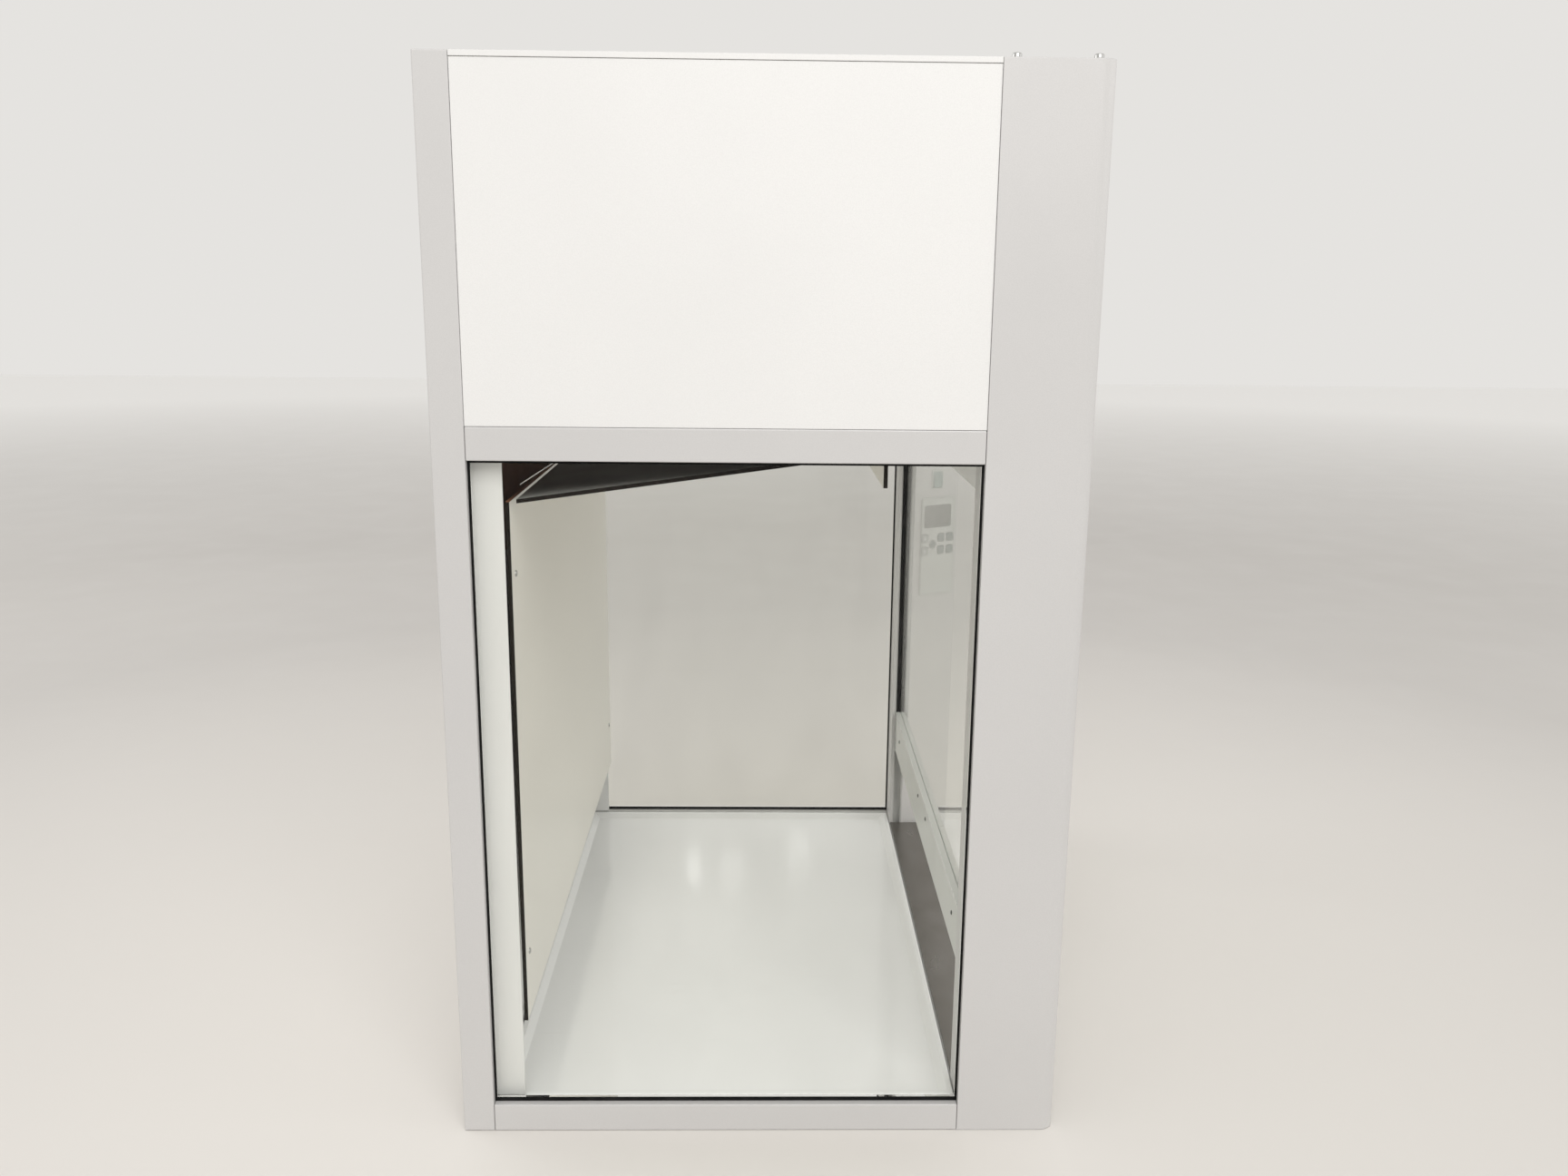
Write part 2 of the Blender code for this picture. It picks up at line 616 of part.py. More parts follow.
def sash_parts():
    slot = (GLASS_Y - GLASS_THICKNESS / 2 - FIT, GLASS_Y + GLASS_THICKNESS / 2 + FIT)
    front_wall = slot[0] - SASH_FRONT_WALL
    width = (-SASH_HALF_WIDTH, SASH_HALF_WIDTH)
    glass_bottom, glass_top = SASH_LOWER_EDGE + 0.060, SASH_TOP - 0.004
    glass_y = (GLASS_Y - GLASS_THICKNESS / 2, GLASS_Y + GLASS_THICKNESS / 2)
    glass_x = (-GLASS_HALF_WIDTH, GLASS_HALF_WIDTH)
    box("sash_glass", glass_x, glass_y, (glass_bottom, glass_top), "window_glass")

    pull = [
        (SASH_REAR_Y, SASH_PULL_TOP),
        (SASH_REAR_Y, SASH_LOWER_EDGE + 0.042),
        (-0.2830, SASH_LOWER_EDGE),
        (-0.2950, SASH_LOWER_EDGE),
        (-0.2990, SASH_LOWER_EDGE + 0.004),
        (-0.2990, SASH_LOWER_EDGE + 0.018),
        (-0.2960, SASH_LOWER_EDGE + 0.021),
        (front_wall, SASH_LOWER_EDGE + 0.030),
        (front_wall, SASH_PULL_TOP),
    ]
    lower = prism("sash_bottom_rail", pull, width[0], width[1], "X", "sash_paint")
    cut(lower, box("lower_glass_slot", (-0.6, 0.6), slot, (glass_bottom - GAP, 0.5)))

    upper = box("sash_top_rail", width, (front_wall, SASH_REAR_Y), (SASH_TOP - 0.014, SASH_TOP), "sash_paint")
    for label, side in SIDES.items():
        lug = box(
            f"cable_lug_{label}",
            side_range(side, CABLE_X - 0.008, CABLE_X + 0.008),
            (-0.2915, front_wall + 0.001),
            (SASH_TOP - 0.012, SASH_TOP - 0.001),
        )
        join(upper, lug)
        eye = cylinder(
            f"cable_eye_{label}",
            (side * CABLE_X, CABLE_FRONT_Y, 0.9),
            (side * CABLE_X, CABLE_FRONT_Y, 1.0),
            CABLE_RADIUS + 0.0008,
            12,
        )
        cut(upper, eye)
    cut(upper, box("upper_glass_slot", (-0.6, 0.6), slot, (0.9, glass_top + GAP)))

    for label, side in SIDES.items():
        box(
            f"sash_seal_{label}",
            side_range(side, SASH_HALF_WIDTH + GAP, GLASS_HALF_WIDTH + 0.0025),
            (glass_y[1] + FIT, GROOVE_REAR_Y - 0.0017),
            (glass_bottom, glass_top),
            "black_rubber",
        )
        track = box(
            f"sash_track_{label}",
            side_range(side, REVEAL_X + FIT, REVEAL_X + GROOVE_DEPTH - FIT),
            (GROOVE_FRONT_Y + FIT, GROOVE_REAR_Y - FIT),
            (0.004, ROOF_BOTTOM - 0.004),
            "track_grey",
        )
        channel = box(
            f"track_channel_{label}",
            side_range(side, 0.30, REVEAL_X + GROOVE_DEPTH - FIT - TRACK_WALL),
            (GROOVE_FRONT_Y + FIT + TRACK_WALL, GROOVE_REAR_Y - FIT - TRACK_WALL),
            (-0.1, 1.5),
        )
        cut(track, channel)


def pulley(name, x, y):
    """A grooved wheel that turns about X."""
    groove_radius = PULLEY_PITCH_RADIUS - CABLE_RADIUS - FIT
    half, groove_half = PULLEY_WIDTH / 2, CABLE_RADIUS + 0.0006
    bore = AXLE_RADIUS + 0.0005
    profile = [
        (bore, -half),
        (PULLEY_FLANGE_RADIUS, -half),
        (PULLEY_FLANGE_RADIUS, -groove_half - 0.0008),
        (groove_radius, -groove_half),
        (groove_radius, groove_half),
        (PULLEY_FLANGE_RADIUS, groove_half + 0.0008),
        (PULLEY_FLANGE_RADIUS, half),
        (bore, half),
    ]
    wheel = turned(name, profile, 32, "panel_plastic")
    wheel.data.transform(Matrix.Rotation(math.pi / 2, 4, "Y"))
    wheel.location = (x, y, PULLEY_Z)


def cable_route(side):
    """Up from the sash, over the front and rear pulleys and down through the counterweight."""
    route = [(CABLE_FRONT_Y, CABLE_FRONT_END)]
    route += arc((FRONT_PULLEY_Y, PULLEY_Z), PULLEY_PITCH_RADIUS, math.pi, math.pi / 2, 10)
    route += arc((REAR_PULLEY_Y, PULLEY_Z), PULLEY_PITCH_RADIUS, math.pi / 2, 0, 10)
    route.append((CABLE_REAR_Y, CABLE_REAR_END))
    return [(side * CABLE_X, y, z) for y, z in route]


def cable(name, route):
    curve = bpy.data.curves.new(name, "CURVE")
    curve.dimensions = "3D"
    curve.bevel_depth = CABLE_RADIUS
    curve.bevel_resolution = 2
    curve.use_fill_caps = True
    spline = curve.splines.new("POLY")
    spline.points.add(len(route) - 1)
    for point, place in zip(spline.points, route):
        point.co = (*place, 1)
    new_object(name, curve, "steel")


def counterbalance():
    for label, side in SIDES.items():
        pulley(f"front_pulley_{label}", side * CABLE_X, FRONT_PULLEY_Y)
        pulley(f"rear_pulley_{label}", side * CABLE_X, REAR_PULLEY_Y)
        cable(f"sash_cable_{label}", cable_route(side))
    front_reach, rear_reach = REVEAL_X - GAP, HALF_WIDTH - 0.014
    axles = {"front": (FRONT_PULLEY_Y, front_reach), "rear": (REAR_PULLEY_Y, rear_reach)}
    for label, (y, reach) in axles.items():
        cylinder(f"{label}_axle", (-reach, y, PULLEY_Z), (reach, y, PULLEY_Z), AXLE_RADIUS, 16, "steel")
    weight = box(
        "counterweight",
        (-WEIGHT_HALF_WIDTH, WEIGHT_HALF_WIDTH),
        (CABLE_REAR_Y - 0.015, CABLE_REAR_Y + 0.015),
        (WEIGHT_BOTTOM, WEIGHT_TOP),
        "cast_weight",
        EDGE_ROUND,
    )
    for label, side in SIDES.items():
        bore = cylinder(
            f"weight_bore_{label}",
            (side * CABLE_X, CABLE_REAR_Y, WEIGHT_BOTTOM - 0.05),
            (side * CABLE_X, CABLE_REAR_Y, WEIGHT_TOP + 0.05),
            CABLE_RADIUS + 0.001,
            12,
        )
        cut(weight, bore)


def exhaust_collar():
    outer, inner, flange = COLLAR_RADIUS, COLLAR_RADIUS - COLLAR_WALL, COLLAR_RADIUS + 0.020
    seat = HEIGHT + GAP
    profile = [
        (inner, HEIGHT - 0.020),
        (outer, HEIGHT - 0.020),
        (outer, seat),
        (flange, seat),
        (flange, seat + COLLAR_WALL),
        (outer, seat + COLLAR_WALL),
        (outer, COLLAR_TOP),
        (inner, COLLAR_TOP),
    ]
    collar = turned("exhaust_collar", profile, 48, "steel")
    collar.location = (0, COLLAR_Y, 0)


def control_panel():
    centre = (sum(PANEL_SPAN) / 2, sum(PANEL_HEIGHTS) / 2)
    size = (PANEL_SPAN[1] - PANEL_SPAN[0], PANEL_HEIGHTS[1] - PANEL_HEIGHTS[0])
    panel = flared_plate("control_panel", centre, size, (GAP, PANEL_THICKNESS), "panel_plastic", 0.005)
    smooth(panel)
    view_centre = (sum(DISPLAY_SPAN) / 2, sum(DISPLAY_HEIGHTS) / 2)
    view_size = (DISPLAY_SPAN[1] - DISPLAY_SPAN[0], DISPLAY_HEIGHTS[1] - DISPLAY_HEIGHTS[0])
    through = (-0.002, 0.010)
    wide = tuple(edge + 2 * KEY_CLEARANCE for edge in view_size)
    cut(panel, flared_plate("display_opening", view_centre, wide, through, None, 0.0045))
    view_layer = (0.0010, PANEL_THICKNESS + 0.0004)
    smooth(flared_plate("control_display", view_centre, view_size, view_layer, "display_grey", 0.004))
    for name, place in KEYS.items():
        width = KEY_WIDTH - 0.001 if name == ROUND_KEY else KEY_WIDTH
        corner = width / 2 - 0.0001 if name == ROUND_KEY else 0.003
        hole = width + 2 * KEY_CLEARANCE
        cut(panel, flared_plate(f"{name}_hole", place, (hole, hole), through, None, corner + KEY_CLEARANCE))
        key = flared_plate(name, place, (width, width), KEY_REST, "key_plastic", corner)
        smooth(key)
        set_origin(key, flared_point(1, place[0], KEY_REST[0], place[1]))


def light_switch():
    bezel_size = (SWITCH_SIZE[0] + 0.004, SWITCH_SIZE[1] + 0.004)
    bezel = flared_plate("switch_bezel", SWITCH_CENTRE, bezel_size, (GAP, 0.0020), "panel_plastic", 0.002)
    opening_size = tuple(edge - 0.001 for edge in SWITCH_SIZE)
    cut(bezel, flared_plate("bezel_opening", SWITCH_CENTRE, opening_size, (-0.01, 0.01)))
    rocker_size = tuple(edge - 0.0030 for edge in SWITCH_SIZE)
    rocker = flared_plate("switch_rocker", SWITCH_CENTRE, rocker_size, (-0.0065, 0.0030), "switch_green")
    pivot = flared_point(1, SWITCH_CENTRE[0], -0.0020, SWITCH_CENTRE[1])
    set_origin(rocker, pivot)
    run = (flared_point(1, 1, 0, 0) - flared_point(1, 0, 0, 0)).normalized()
    rocker.data.transform(Matrix.Rotation(-SWITCH_TILT, 4, run))


def build():
    for leftover in list(bpy.data.objects):
        bpy.data.objects.remove(leftover, do_unlink=True)
    front_columns()
    frame_rails()
    outer_skins()
    front_header()
    glazing()
    tray_and_sill()
    linings()
    sash_parts()
    counterbalance()
    exhaust_collar()
    control_panel()
    light_switch()


build()
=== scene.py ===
"""Looks for the bench-top fume hood: surface finishes, small fittings, studio light and the camera.

Metres, +Z up. The operator stands on the -Y side; the camera looks along +X at the hood's left side.
"""

import json
import math

import bmesh
import bpy
from mathutils import Matrix, Vector


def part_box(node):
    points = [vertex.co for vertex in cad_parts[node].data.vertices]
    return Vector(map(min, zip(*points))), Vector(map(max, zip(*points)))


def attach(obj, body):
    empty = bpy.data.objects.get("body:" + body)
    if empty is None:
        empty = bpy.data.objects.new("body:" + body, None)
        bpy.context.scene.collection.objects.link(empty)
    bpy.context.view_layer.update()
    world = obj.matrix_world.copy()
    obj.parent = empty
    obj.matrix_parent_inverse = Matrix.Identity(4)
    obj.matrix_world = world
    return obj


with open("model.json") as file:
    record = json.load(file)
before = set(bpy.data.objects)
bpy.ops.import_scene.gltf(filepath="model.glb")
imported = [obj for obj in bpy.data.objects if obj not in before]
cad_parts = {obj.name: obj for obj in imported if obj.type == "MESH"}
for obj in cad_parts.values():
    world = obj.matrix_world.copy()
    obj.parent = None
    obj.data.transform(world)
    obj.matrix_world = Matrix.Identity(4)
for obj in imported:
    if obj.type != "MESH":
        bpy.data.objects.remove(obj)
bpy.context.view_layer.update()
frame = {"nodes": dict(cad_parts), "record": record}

NODES = frame["nodes"]
SIDES = {"left": -1, "right": 1}
FULL_TURN = 2 * math.pi
UPWARD = (0, 0, 1)
FORWARD = (0, -1, 0)
REARWARD = (0, 1, 0)
SIDEWAYS = (1, 0, 0)

# Pairs of shades that a noise blends between
BARE_BOARD = ((0.34, 0.155, 0.085), (0.52, 0.265, 0.155))
# The sloping baffle's upper face is painted dark grey, a painted shade
PAINTED_SHADE_TOP = ((0.36, 0.365, 0.345), (0.30, 0.30, 0.285))

# The rear panel's inner face is bare from this far below the rear baffle's top
BARE_BOARD_DEPTH = 0.1

# Weak reflections keep the dark space behind the glass dark; lamps shine through with a faint tint
GLASS_REFLECTION = (0.2, 0.2, 0.2, 1)
SHADOW_TINT = (0.99, 0.995, 0.985)

# The right column's flared face, which carries the controls: along it and out of it
FLARE_ANGLE = math.radians(30)
FLARE_ALONG = Vector((math.sin(FLARE_ANGLE), -math.cos(FLARE_ANGLE), 0))
FLARE_OUT = Vector((-math.cos(FLARE_ANGLE), -math.sin(FLARE_ANGLE), 0))

# Steps along a rounded corner, the angles from which an edge stays sharp or is bevelled, and bevel widths
CORNER_STEPS = 5
SHARP_ANGLE = math.radians(32)
BEVEL_ANGLE = math.radians(40)
SHEET_BEVEL = 0.0003
TRIM_BEVEL = 0.0002

# Screw heads: steps round them, and radii
SCREW_STEPS = 32
RIVET_HEAD = 0.0026
RAIL_HEAD = 0.0032
ROOF_HEAD = 0.0038
PANEL_HEAD = 0.0040
BAFFLE_HEAD = 0.0042

# Rear baffle screws
BAFFLE_SCREW_INSET = 0.024
BAFFLE_SCREW_HEIGHTS = (0.231, 0.737)

# Stay of the upper baffle: its foot from the baffle's rear lower edge, then its bends as Y and Z
STAY_INSET = 0.006
STAY_FOOT = (0.004, 0.022)
STAY_BENDS = ((0.250, 0.876), (0.180, 0.925), (0.150, 0.930))
STAY_SECTION = (0.003, 0.0015)

# Rivets behind the columns, on a face a little in front of the side windows
RIVET_X = 0.462
RIVET_HEIGHTS = (0.437, 0.471, 0.506)
RIVET_LEDGE = 0.0057

# Bowed leaf springs in the sash tracks
SPRING_X = 0.446
SPRING_STAND_OFF = 0.0018
SPRING_BOTTOM = 0.434
SPRING_LENGTH = 0.060
SPRING_BOW = 0.0030
SPRING_SECTION = (0.011, 0.0006)
SPRING_STEPS = 8

# Behind the sash's grip rail: screws as X and Z, the trim strip and the end clips
RAIL_SCREWS = ((0.352, 0.234), (0.050, 0.246), (-0.050, 0.246), (-0.352, 0.234))
BEAD_SECTION = (0.0006, 0.0022)
RAIL_END_GAP = 0.004
CLIP_WIDTH = 0.014
CLIP_THICKNESS = 0.0012
CLIP_HEIGHTS = (0.196, 0.264)
CLIP_SCREW_HEIGHTS = (0.256, 0.204)

# Crimped cable sleeve, as radius and height, and how far its foot is below the lug
SLEEVE_PROFILE = (
    (0.0016, 0.0), (0.0030, 0.0), (0.0034, 0.001), (0.0034, 0.003), (0.0029, 0.004), (0.0034, 0.005),
    (0.0034, 0.007), (0.0029, 0.008), (0.0034, 0.009), (0.0034, 0.011), (0.0030, 0.012), (0.0016, 0.012),
)
SLEEVE_STEPS = 20
SLEEVE_DROP = 0.0125

# Insets and counts of the screws round the covers
REAR_INSET = 0.012
REAR_SIDE_ROWS = 7
REAR_END_INSET = 0.15
ROOF_SIDE_INSET = 0.014
ROOF_SIDE_END = 0.04
ROOF_EDGE_INSET = 0.012
ROOF_EDGE_END = 0.18
EDGE_COUNT = 4
FLANGE_INSET = 0.010
FLANGE_THICKNESS = 0.002
FLANGE_COUNT = 8
HEADER_SCREW_X = 0.43
HEADER_SCREW_INSET = 0.03

# Cap-screw caps on the columns, as radius, height and whether the hexagon shapes them
CAP_PROFILE = (
    (0, 0, False), (0.0054, 0, False), (0.0054, 0.0048, False), (0.0051, 0.0056, False),
    (0.0043, 0.0063, False), (0.0030, 0.0067, True), (0.0028, 0.0058, True), (0, 0.0057, False),
)
CAP_STEPS = 30
CAP_LIFT = 0.0002
CAP_SIDE_INSET = 0.016
CAP_REAR_INSET = 0.017
CAP_FRONT_INSET = 0.018

# Printed marks on the keys and the panel
MARK_THICKNESS = 0.00015
OUTLINE_THICKNESS = 0.00012
BORDER_THICKNESS = 0.0001
MASK_THICKNESS = 0.00025
KEY_OUTLINE_SIZES = (0.0172, 0.0150)
KEY_OUTLINE_CORNERS = (0.0043, 0.0034)
ROUND_KEY_CORNERS = (0.0085, 0.0074)
PANEL_WIDTH = 0.0798
BORDER_INSET = 0.0035
BORDER_WIDTH = 0.0012
BORDER_CORNERS = (0.0040, 0.0034)
MASK_OUTLINES = ((0.062, 0.0415, 0.0038), (0.0565, 0.036, 0.002))
STATUS_LAMP_PLACE = (0.0365, -0.0675, 0)
STATUS_LAMP_STEPS = 20
STATUS_LAMP_PROFILE = ((0, 0, False), (0.0016, 0, False), (0.0013, 0.0006, False), (0, 0.0009, False))

# The camera stands to the hood's left, a little above the middle rail
CAMERA_DISTANCE = 1.5141
CAMERA_SIDEWAYS = 0.0036
CAMERA_HEIGHT = 1.0778
CAMERA_LENS = 29.91
CAMERA_SENSOR = 36.0
CAMERA_YAW = -0.0189
CAMERA_PITCH = 0.2243
CAMERA_ROLL = 0.0102

# Studio lamps: place, size and watts
LAMP_TARGET = (0.0, 0.0, 0.7)
LAMP_COLOUR = (1.0, 0.99, 0.985)
STUDIO_LAMPS = {
    "side_light": ((-3.4, -0.5, 3.5), (3.0, 2.2), 74),
    "front_light": ((-0.6, -4.2, 2.4), (3.2, 2.4), 16),
    "rear_light": ((1.2, 4.4, 3.0), (2.6, 2.0), 34),
}
SKY_COLOUR = (0.80, 0.785, 0.76, 1)
SKY_STRENGTH = 0.98
FLOOR_HALF_WIDTH = 14.0
FLOOR_DROP = 0.0005

# Small lamps beyond the far window that the glossy tray mirrors: Y, height, width and length. Each aims at
# a point of the tray, at a share of its own Y
WINDOW_LAMPS = ((0.27, 1.31, 0.06, 0.14), (0.11, 1.34, 0.09, 0.16), (-0.16, 1.27, 0.09, 0.20))
WINDOW_LAMP_X = 3.0
WINDOW_LAMP_WATTS = 0.055
WINDOW_LAMP_COLOUR = (1.0, 1.0, 1.0)
TRAY_AIM_X = 0.2
TRAY_AIM_SHARE = 0.25
TRAY_AIM_Z = 0.03


# ---------------------------------------------------------------------------------------------------
# Finishes
# ---------------------------------------------------------------------------------------------------


class Finish:
    """A Principled material with helpers that add texture nodes, sized in metres."""

    def __init__(self, name, colour, roughness, metallic=0.0):
        self.material = bpy.data.materials.new(name)
        self.material.use_nodes = True
        self.tree = self.material.node_tree
        self.shader = self.tree.nodes["Principled BSDF"]
        self.set("Base Color", (*colour, 1))
        self.set("Roughness", roughness)
        self.set("Metallic", metallic)
        self.colour = colour
        self.place = self.add("TexCoord").outputs["Object"]

    def add(self, kind):
        return self.tree.nodes.new("ShaderNode" + kind)

    def set(self, socket, value):
        self.shader.inputs[socket].default_value = value

    def link(self, source, socket):
        self.tree.links.new(source, socket)

    def drive(self, socket, source):
        self.link(source, self.shader.inputs[socket])

    def stretched(self, scale):
        """Coordinates scaled along each axis, for grain that runs one way."""
        mapping = self.add("Mapping")
        mapping.inputs["Scale"].default_value = scale
        self.link(self.place, mapping.inputs["Vector"])
        return mapping.outputs["Vector"]

    def noise(self, scale, detail, stretch=None, distortion=0.0):
        node = self.add("TexNoise")
        node.inputs["Scale"].default_value = scale
        node.inputs["Detail"].default_value = detail
        node.inputs["Distortion"].default_value = distortion
        self.link(self.stretched(stretch) if stretch else self.place, node.inputs["Vector"])
        return node.outputs["Fac"]

    def cells(self, scale, feature, output):
        node = self.add("TexVoronoi")
        node.feature = feature
        node.inputs["Scale"].default_value = scale
        self.link(self.place, node.inputs["Vector"])
        return node.outputs[output]

    def remap(self, source, low, high, to_low=0.0, to_high=1.0):
        node = self.add("MapRange")
        limits = {"From Min": low, "From Max": high, "To Min": to_low, "To Max": to_high}
        for socket, value in limits.items():
            node.inputs[socket].default_value = value
        self.link(source, node.inputs["Value"])
        return node.outputs["Result"]

    def math(self, operation, first, second=None):
        node = self.add("Math")
        node.operation = operation
        for socket, value in zip(node.inputs, (first, second)):
            if isinstance(value, bpy.types.NodeSocket):
                self.link(value, socket)
            elif value is not None:
                socket.default_value = value
        return node.outputs[0]

    def blend(self, factor, first, second):
        """A colour that goes from first to second as factor goes from 0 to 1."""
        node = self.add("Mix")
        node.data_type = "RGBA"
        self.link(factor, node.inputs["Factor"])
        for identifier, value in (("A_Color", first), ("B_Color", second)):
            socket = next(s for s in node.inputs if s.identifier == identifier)
            if isinstance(value, bpy.types.NodeSocket):
                self.link(value, socket)
            else:
                socket.default_value = (*value, 1)
        return next(s for s in node.outputs if s.identifier == "Result_Color")

    def tone(self, amount, scale):
        """The base colour varied lightly and broadly, brighter and darker by a share."""
        dark = [channel * (1 - amount) for channel in self.colour]
        light = [min(1.0, channel * (1 + amount)) for channel in self.colour]
        return self.blend(self.remap(self.noise(scale, 3.0), 0.3, 0.7), dark, light)

    def rounded(self, radius):
        """A normal that rounds the edges off, and a mask of those edges."""
        bevel = self.add("Bevel")
        bevel.samples = 4
        bevel.inputs["Radius"].default_value = radius
        facing = self.add("NewGeometry")
        dot = self.add("VectorMath")
        dot.operation = "DOT_PRODUCT"
        self.link(bevel.outputs["Normal"], dot.inputs[0])
        self.link(facing.outputs["Normal"], dot.inputs[1])
        return bevel.outputs["Normal"], self.remap(dot.outputs["Value"], 0.995, 0.86)

    def bump(self, height, distance, normal=None):
        node = self.add("Bump")
        node.inputs["Distance"].default_value = distance
        node.inputs["Strength"].default_value = 1.0
        self.link(height, node.inputs["Height"])
        if normal is not None:
            self.link(normal, node.inputs["Normal"])
        self.drive("Normal", node.outputs["Normal"])

    def facing(self, axis):
        """How far the surface faces along an axis, from -1 to 1."""
        split = self.add("SeparateXYZ")
        self.link(self.add("NewGeometry").outputs["Normal"], split.inputs[0])
        return split.outputs[axis]

    def coordinate(self, axis):
        split = self.add("SeparateXYZ")
        self.link(self.place, split.inputs[0])
        return split.outputs[axis]


def powder_coat(name, colour, roughness, metallic, grain, edge_wear_and_highlight):
    """Baked powder paint: a fine orange peel, faint hand marks, and edges lightened in patches, partly wear
    and partly a painted highlight.
    """
    made = Finish(name, colour, roughness, metallic)
    normal, edges = made.rounded(0.0012)
    base = made.tone(0.018, 3.0)
    sparkle = made.remap(made.noise(900.0, 1.0), 0.35, 0.65, 0.0, 0.5)
    speckled = made.blend(sparkle, base, [channel * 0.93 for channel in colour])
    # Edges are lightened in patches, partly wear and partly a painted highlight
    worn_and_lit_edges = made.math("MULTIPLY", edges, made.remap(made.noise(60.0, 4.0), 0.46, 0.66))
    made.drive("Base Color", made.blend(worn_and_lit_edges, speckled, edge_wear_and_highlight))
    smudges = made.noise(9.0, 5.0, None, 0.6)
    made.drive("Roughness", made.remap(smudges, 0.3, 0.7, roughness - 0.06, roughness + 0.06))
    made.bump(made.noise(grain, 2.0), 0.00005, normal)
    return made.material


def silver_paint():
    return powder_coat("silver_powder_coat", (0.645, 0.638, 0.632), 0.42, 0.12, 700.0, (0.72, 0.72, 0.72))


def white_paint():
    return powder_coat("white_powder_coat", (0.83, 0.828, 0.818), 0.40, 0.0, 420.0, (0.90, 0.90, 0.89))


def sash_paint():
    return powder_coat("sash_powder_coat", (0.66, 0.67, 0.645), 0.36, 0.05, 700.0, (0.80, 0.80, 0.79))


def rear_panel_paint():
    """White outside and below; the inner face of the plenum is bare brown board."""
    made = Finish("rear_panel_board", (0.82, 0.815, 0.80), 0.42)
    inner = made.math("LESS_THAN", made.facing("Y"), -0.5)
    upper = made.math("GREATER_THAN", made.coordinate("Z"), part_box("rear_baffle")[1].z - BARE_BOARD_DEPTH)
    fibres = made.blend(made.noise(30.0, 6.0, (1.0, 1.0, 7.0)), *BARE_BOARD)
    plain = made.tone(0.015, 4.0)
    bare = made.math("MULTIPLY", inner, upper)
    made.drive("Base Color", made.blend(bare, plain, fibres))
    made.drive("Specular IOR Level", made.remap(bare, 0.0, 1.0, 0.5, 0.06))
    made.drive("Roughness", made.remap(made.noise(12.0, 4.0), 0.3, 0.7, 0.36, 0.5))
    made.bump(made.noise(420.0, 2.0), 0.00005)
    return made.material


def tray_gloss():
    """Moulded glossy tray, with wipe marks that only show in its shine."""
    made = Finish("glossy_tray", (0.93, 0.935, 0.935), 0.14)
    made.set("Coat Weight", 0.25)
    made.set("Coat Roughness", 0.06)
    normal = made.rounded(0.0018)[0]
    scuffs = made.remap(made.noise(260.0, 3.0, (1.0, 0.06, 1.0), 1.5), 0.60, 0.72, 0.0, 0.35)
    made.drive("Base Color", made.blend(scuffs, made.tone(0.012, 4.0), (0.84, 0.845, 0.835)))
    wipes = made.noise(7.0, 6.0, (0.5, 2.0, 1.0), 2.0)
    made.drive("Roughness", made.remap(wipes, 0.3, 0.72, 0.09, 0.22))
    made.bump(made.noise(35.0, 2.0), 0.00012, normal)
    return made.material


def brushed_sill():
    """Stainless plate brushed along its length and smeared by wiping."""
    # The steel's grey is painted much darker and browner, a painted shade and painted reflection
    made = Finish("brushed_stainless", (0.235, 0.222, 0.205), 0.30, 0.9)
    normal, edges = made.rounded(0.0008)
    grain = made.noise(60.0, 5.0, (0.35, 22.0, 22.0))
    smears = made.remap(made.noise(9.0, 4.0, (1.0, 1.7, 1.0), 0.7), 0.34, 0.70)
    brushed = made.blend(grain, (0.225, 0.212, 0.197), (0.285, 0.270, 0.252))
    wiped = made.blend(smears, brushed, (0.205, 0.188, 0.170))
    # The edges are painted lighter, a painted highlight
    made.drive("Base Color", made.blend(edges, wiped, (0.42, 0.41, 0.39)))
    made.drive("Roughness", made.remap(smears, 0.0, 1.0, 0.27, 0.36))
    made.bump(grain, 0.00002, normal)
    return made.material


def clear_glass(name, tint):
    """Toughened glass that lets lamps through, faintly clouded where it was wiped."""
    made = Finish(name, tint, 0.0)
    made.set("Transmission Weight", 1.0)
    made.set("IOR", 1.48)
    made.set("Specular Tint", GLASS_REFLECTION)
    marks = made.remap(made.noise(5.0, 6.0, (1.0, 1.0, 0.5), 1.6), 0.45, 0.8)
    made.drive("Base Color", made.blend(marks, tint, [channel * 0.96 for channel in tint]))
    see_through = made.add("BsdfTransparent")
    see_through.inputs["Color"].default_value = (*SHADOW_TINT, 1)
    rays = made.add("LightPath")
    passing = made.math("MAXIMUM", rays.outputs["Is Shadow Ray"], rays.outputs["Is Diffuse Ray"])
    mix = made.add("MixShader")
    made.link(passing, mix.inputs[0])
    made.link(made.shader.outputs[0], mix.inputs[1])
    made.link(see_through.outputs[0], mix.inputs[2])
    made.link(mix.outputs[0], made.tree.nodes["Material Output"].inputs["Surface"])
    return made.material


def side_glass():
    return clear_glass("side_window_glass", (0.955, 0.96, 0.945))


def sash_clear_glass():
    return clear_glass("sash_clear_glass", (0.96, 0.968, 0.952))


def rubber():
    made = Finish("black_rubber", (0.008, 0.008, 0.008), 0.6)
    made.set("Specular IOR Level", 0.12)
    # Dust lightens the rubber in patches
    mottle = made.remap(made.noise(40.0, 5.0), 0.45, 0.75, 0.0, 0.6)
    made.drive("Base Color", made.blend(mottle, (0.006, 0.006, 0.006), (0.026, 0.025, 0.024)))
    made.drive("Roughness", made.remap(made.noise(300.0, 2.0), 0.3, 0.7, 0.5, 0.72))
    made.bump(made.noise(900.0, 2.0), 0.00006)
    return made.material


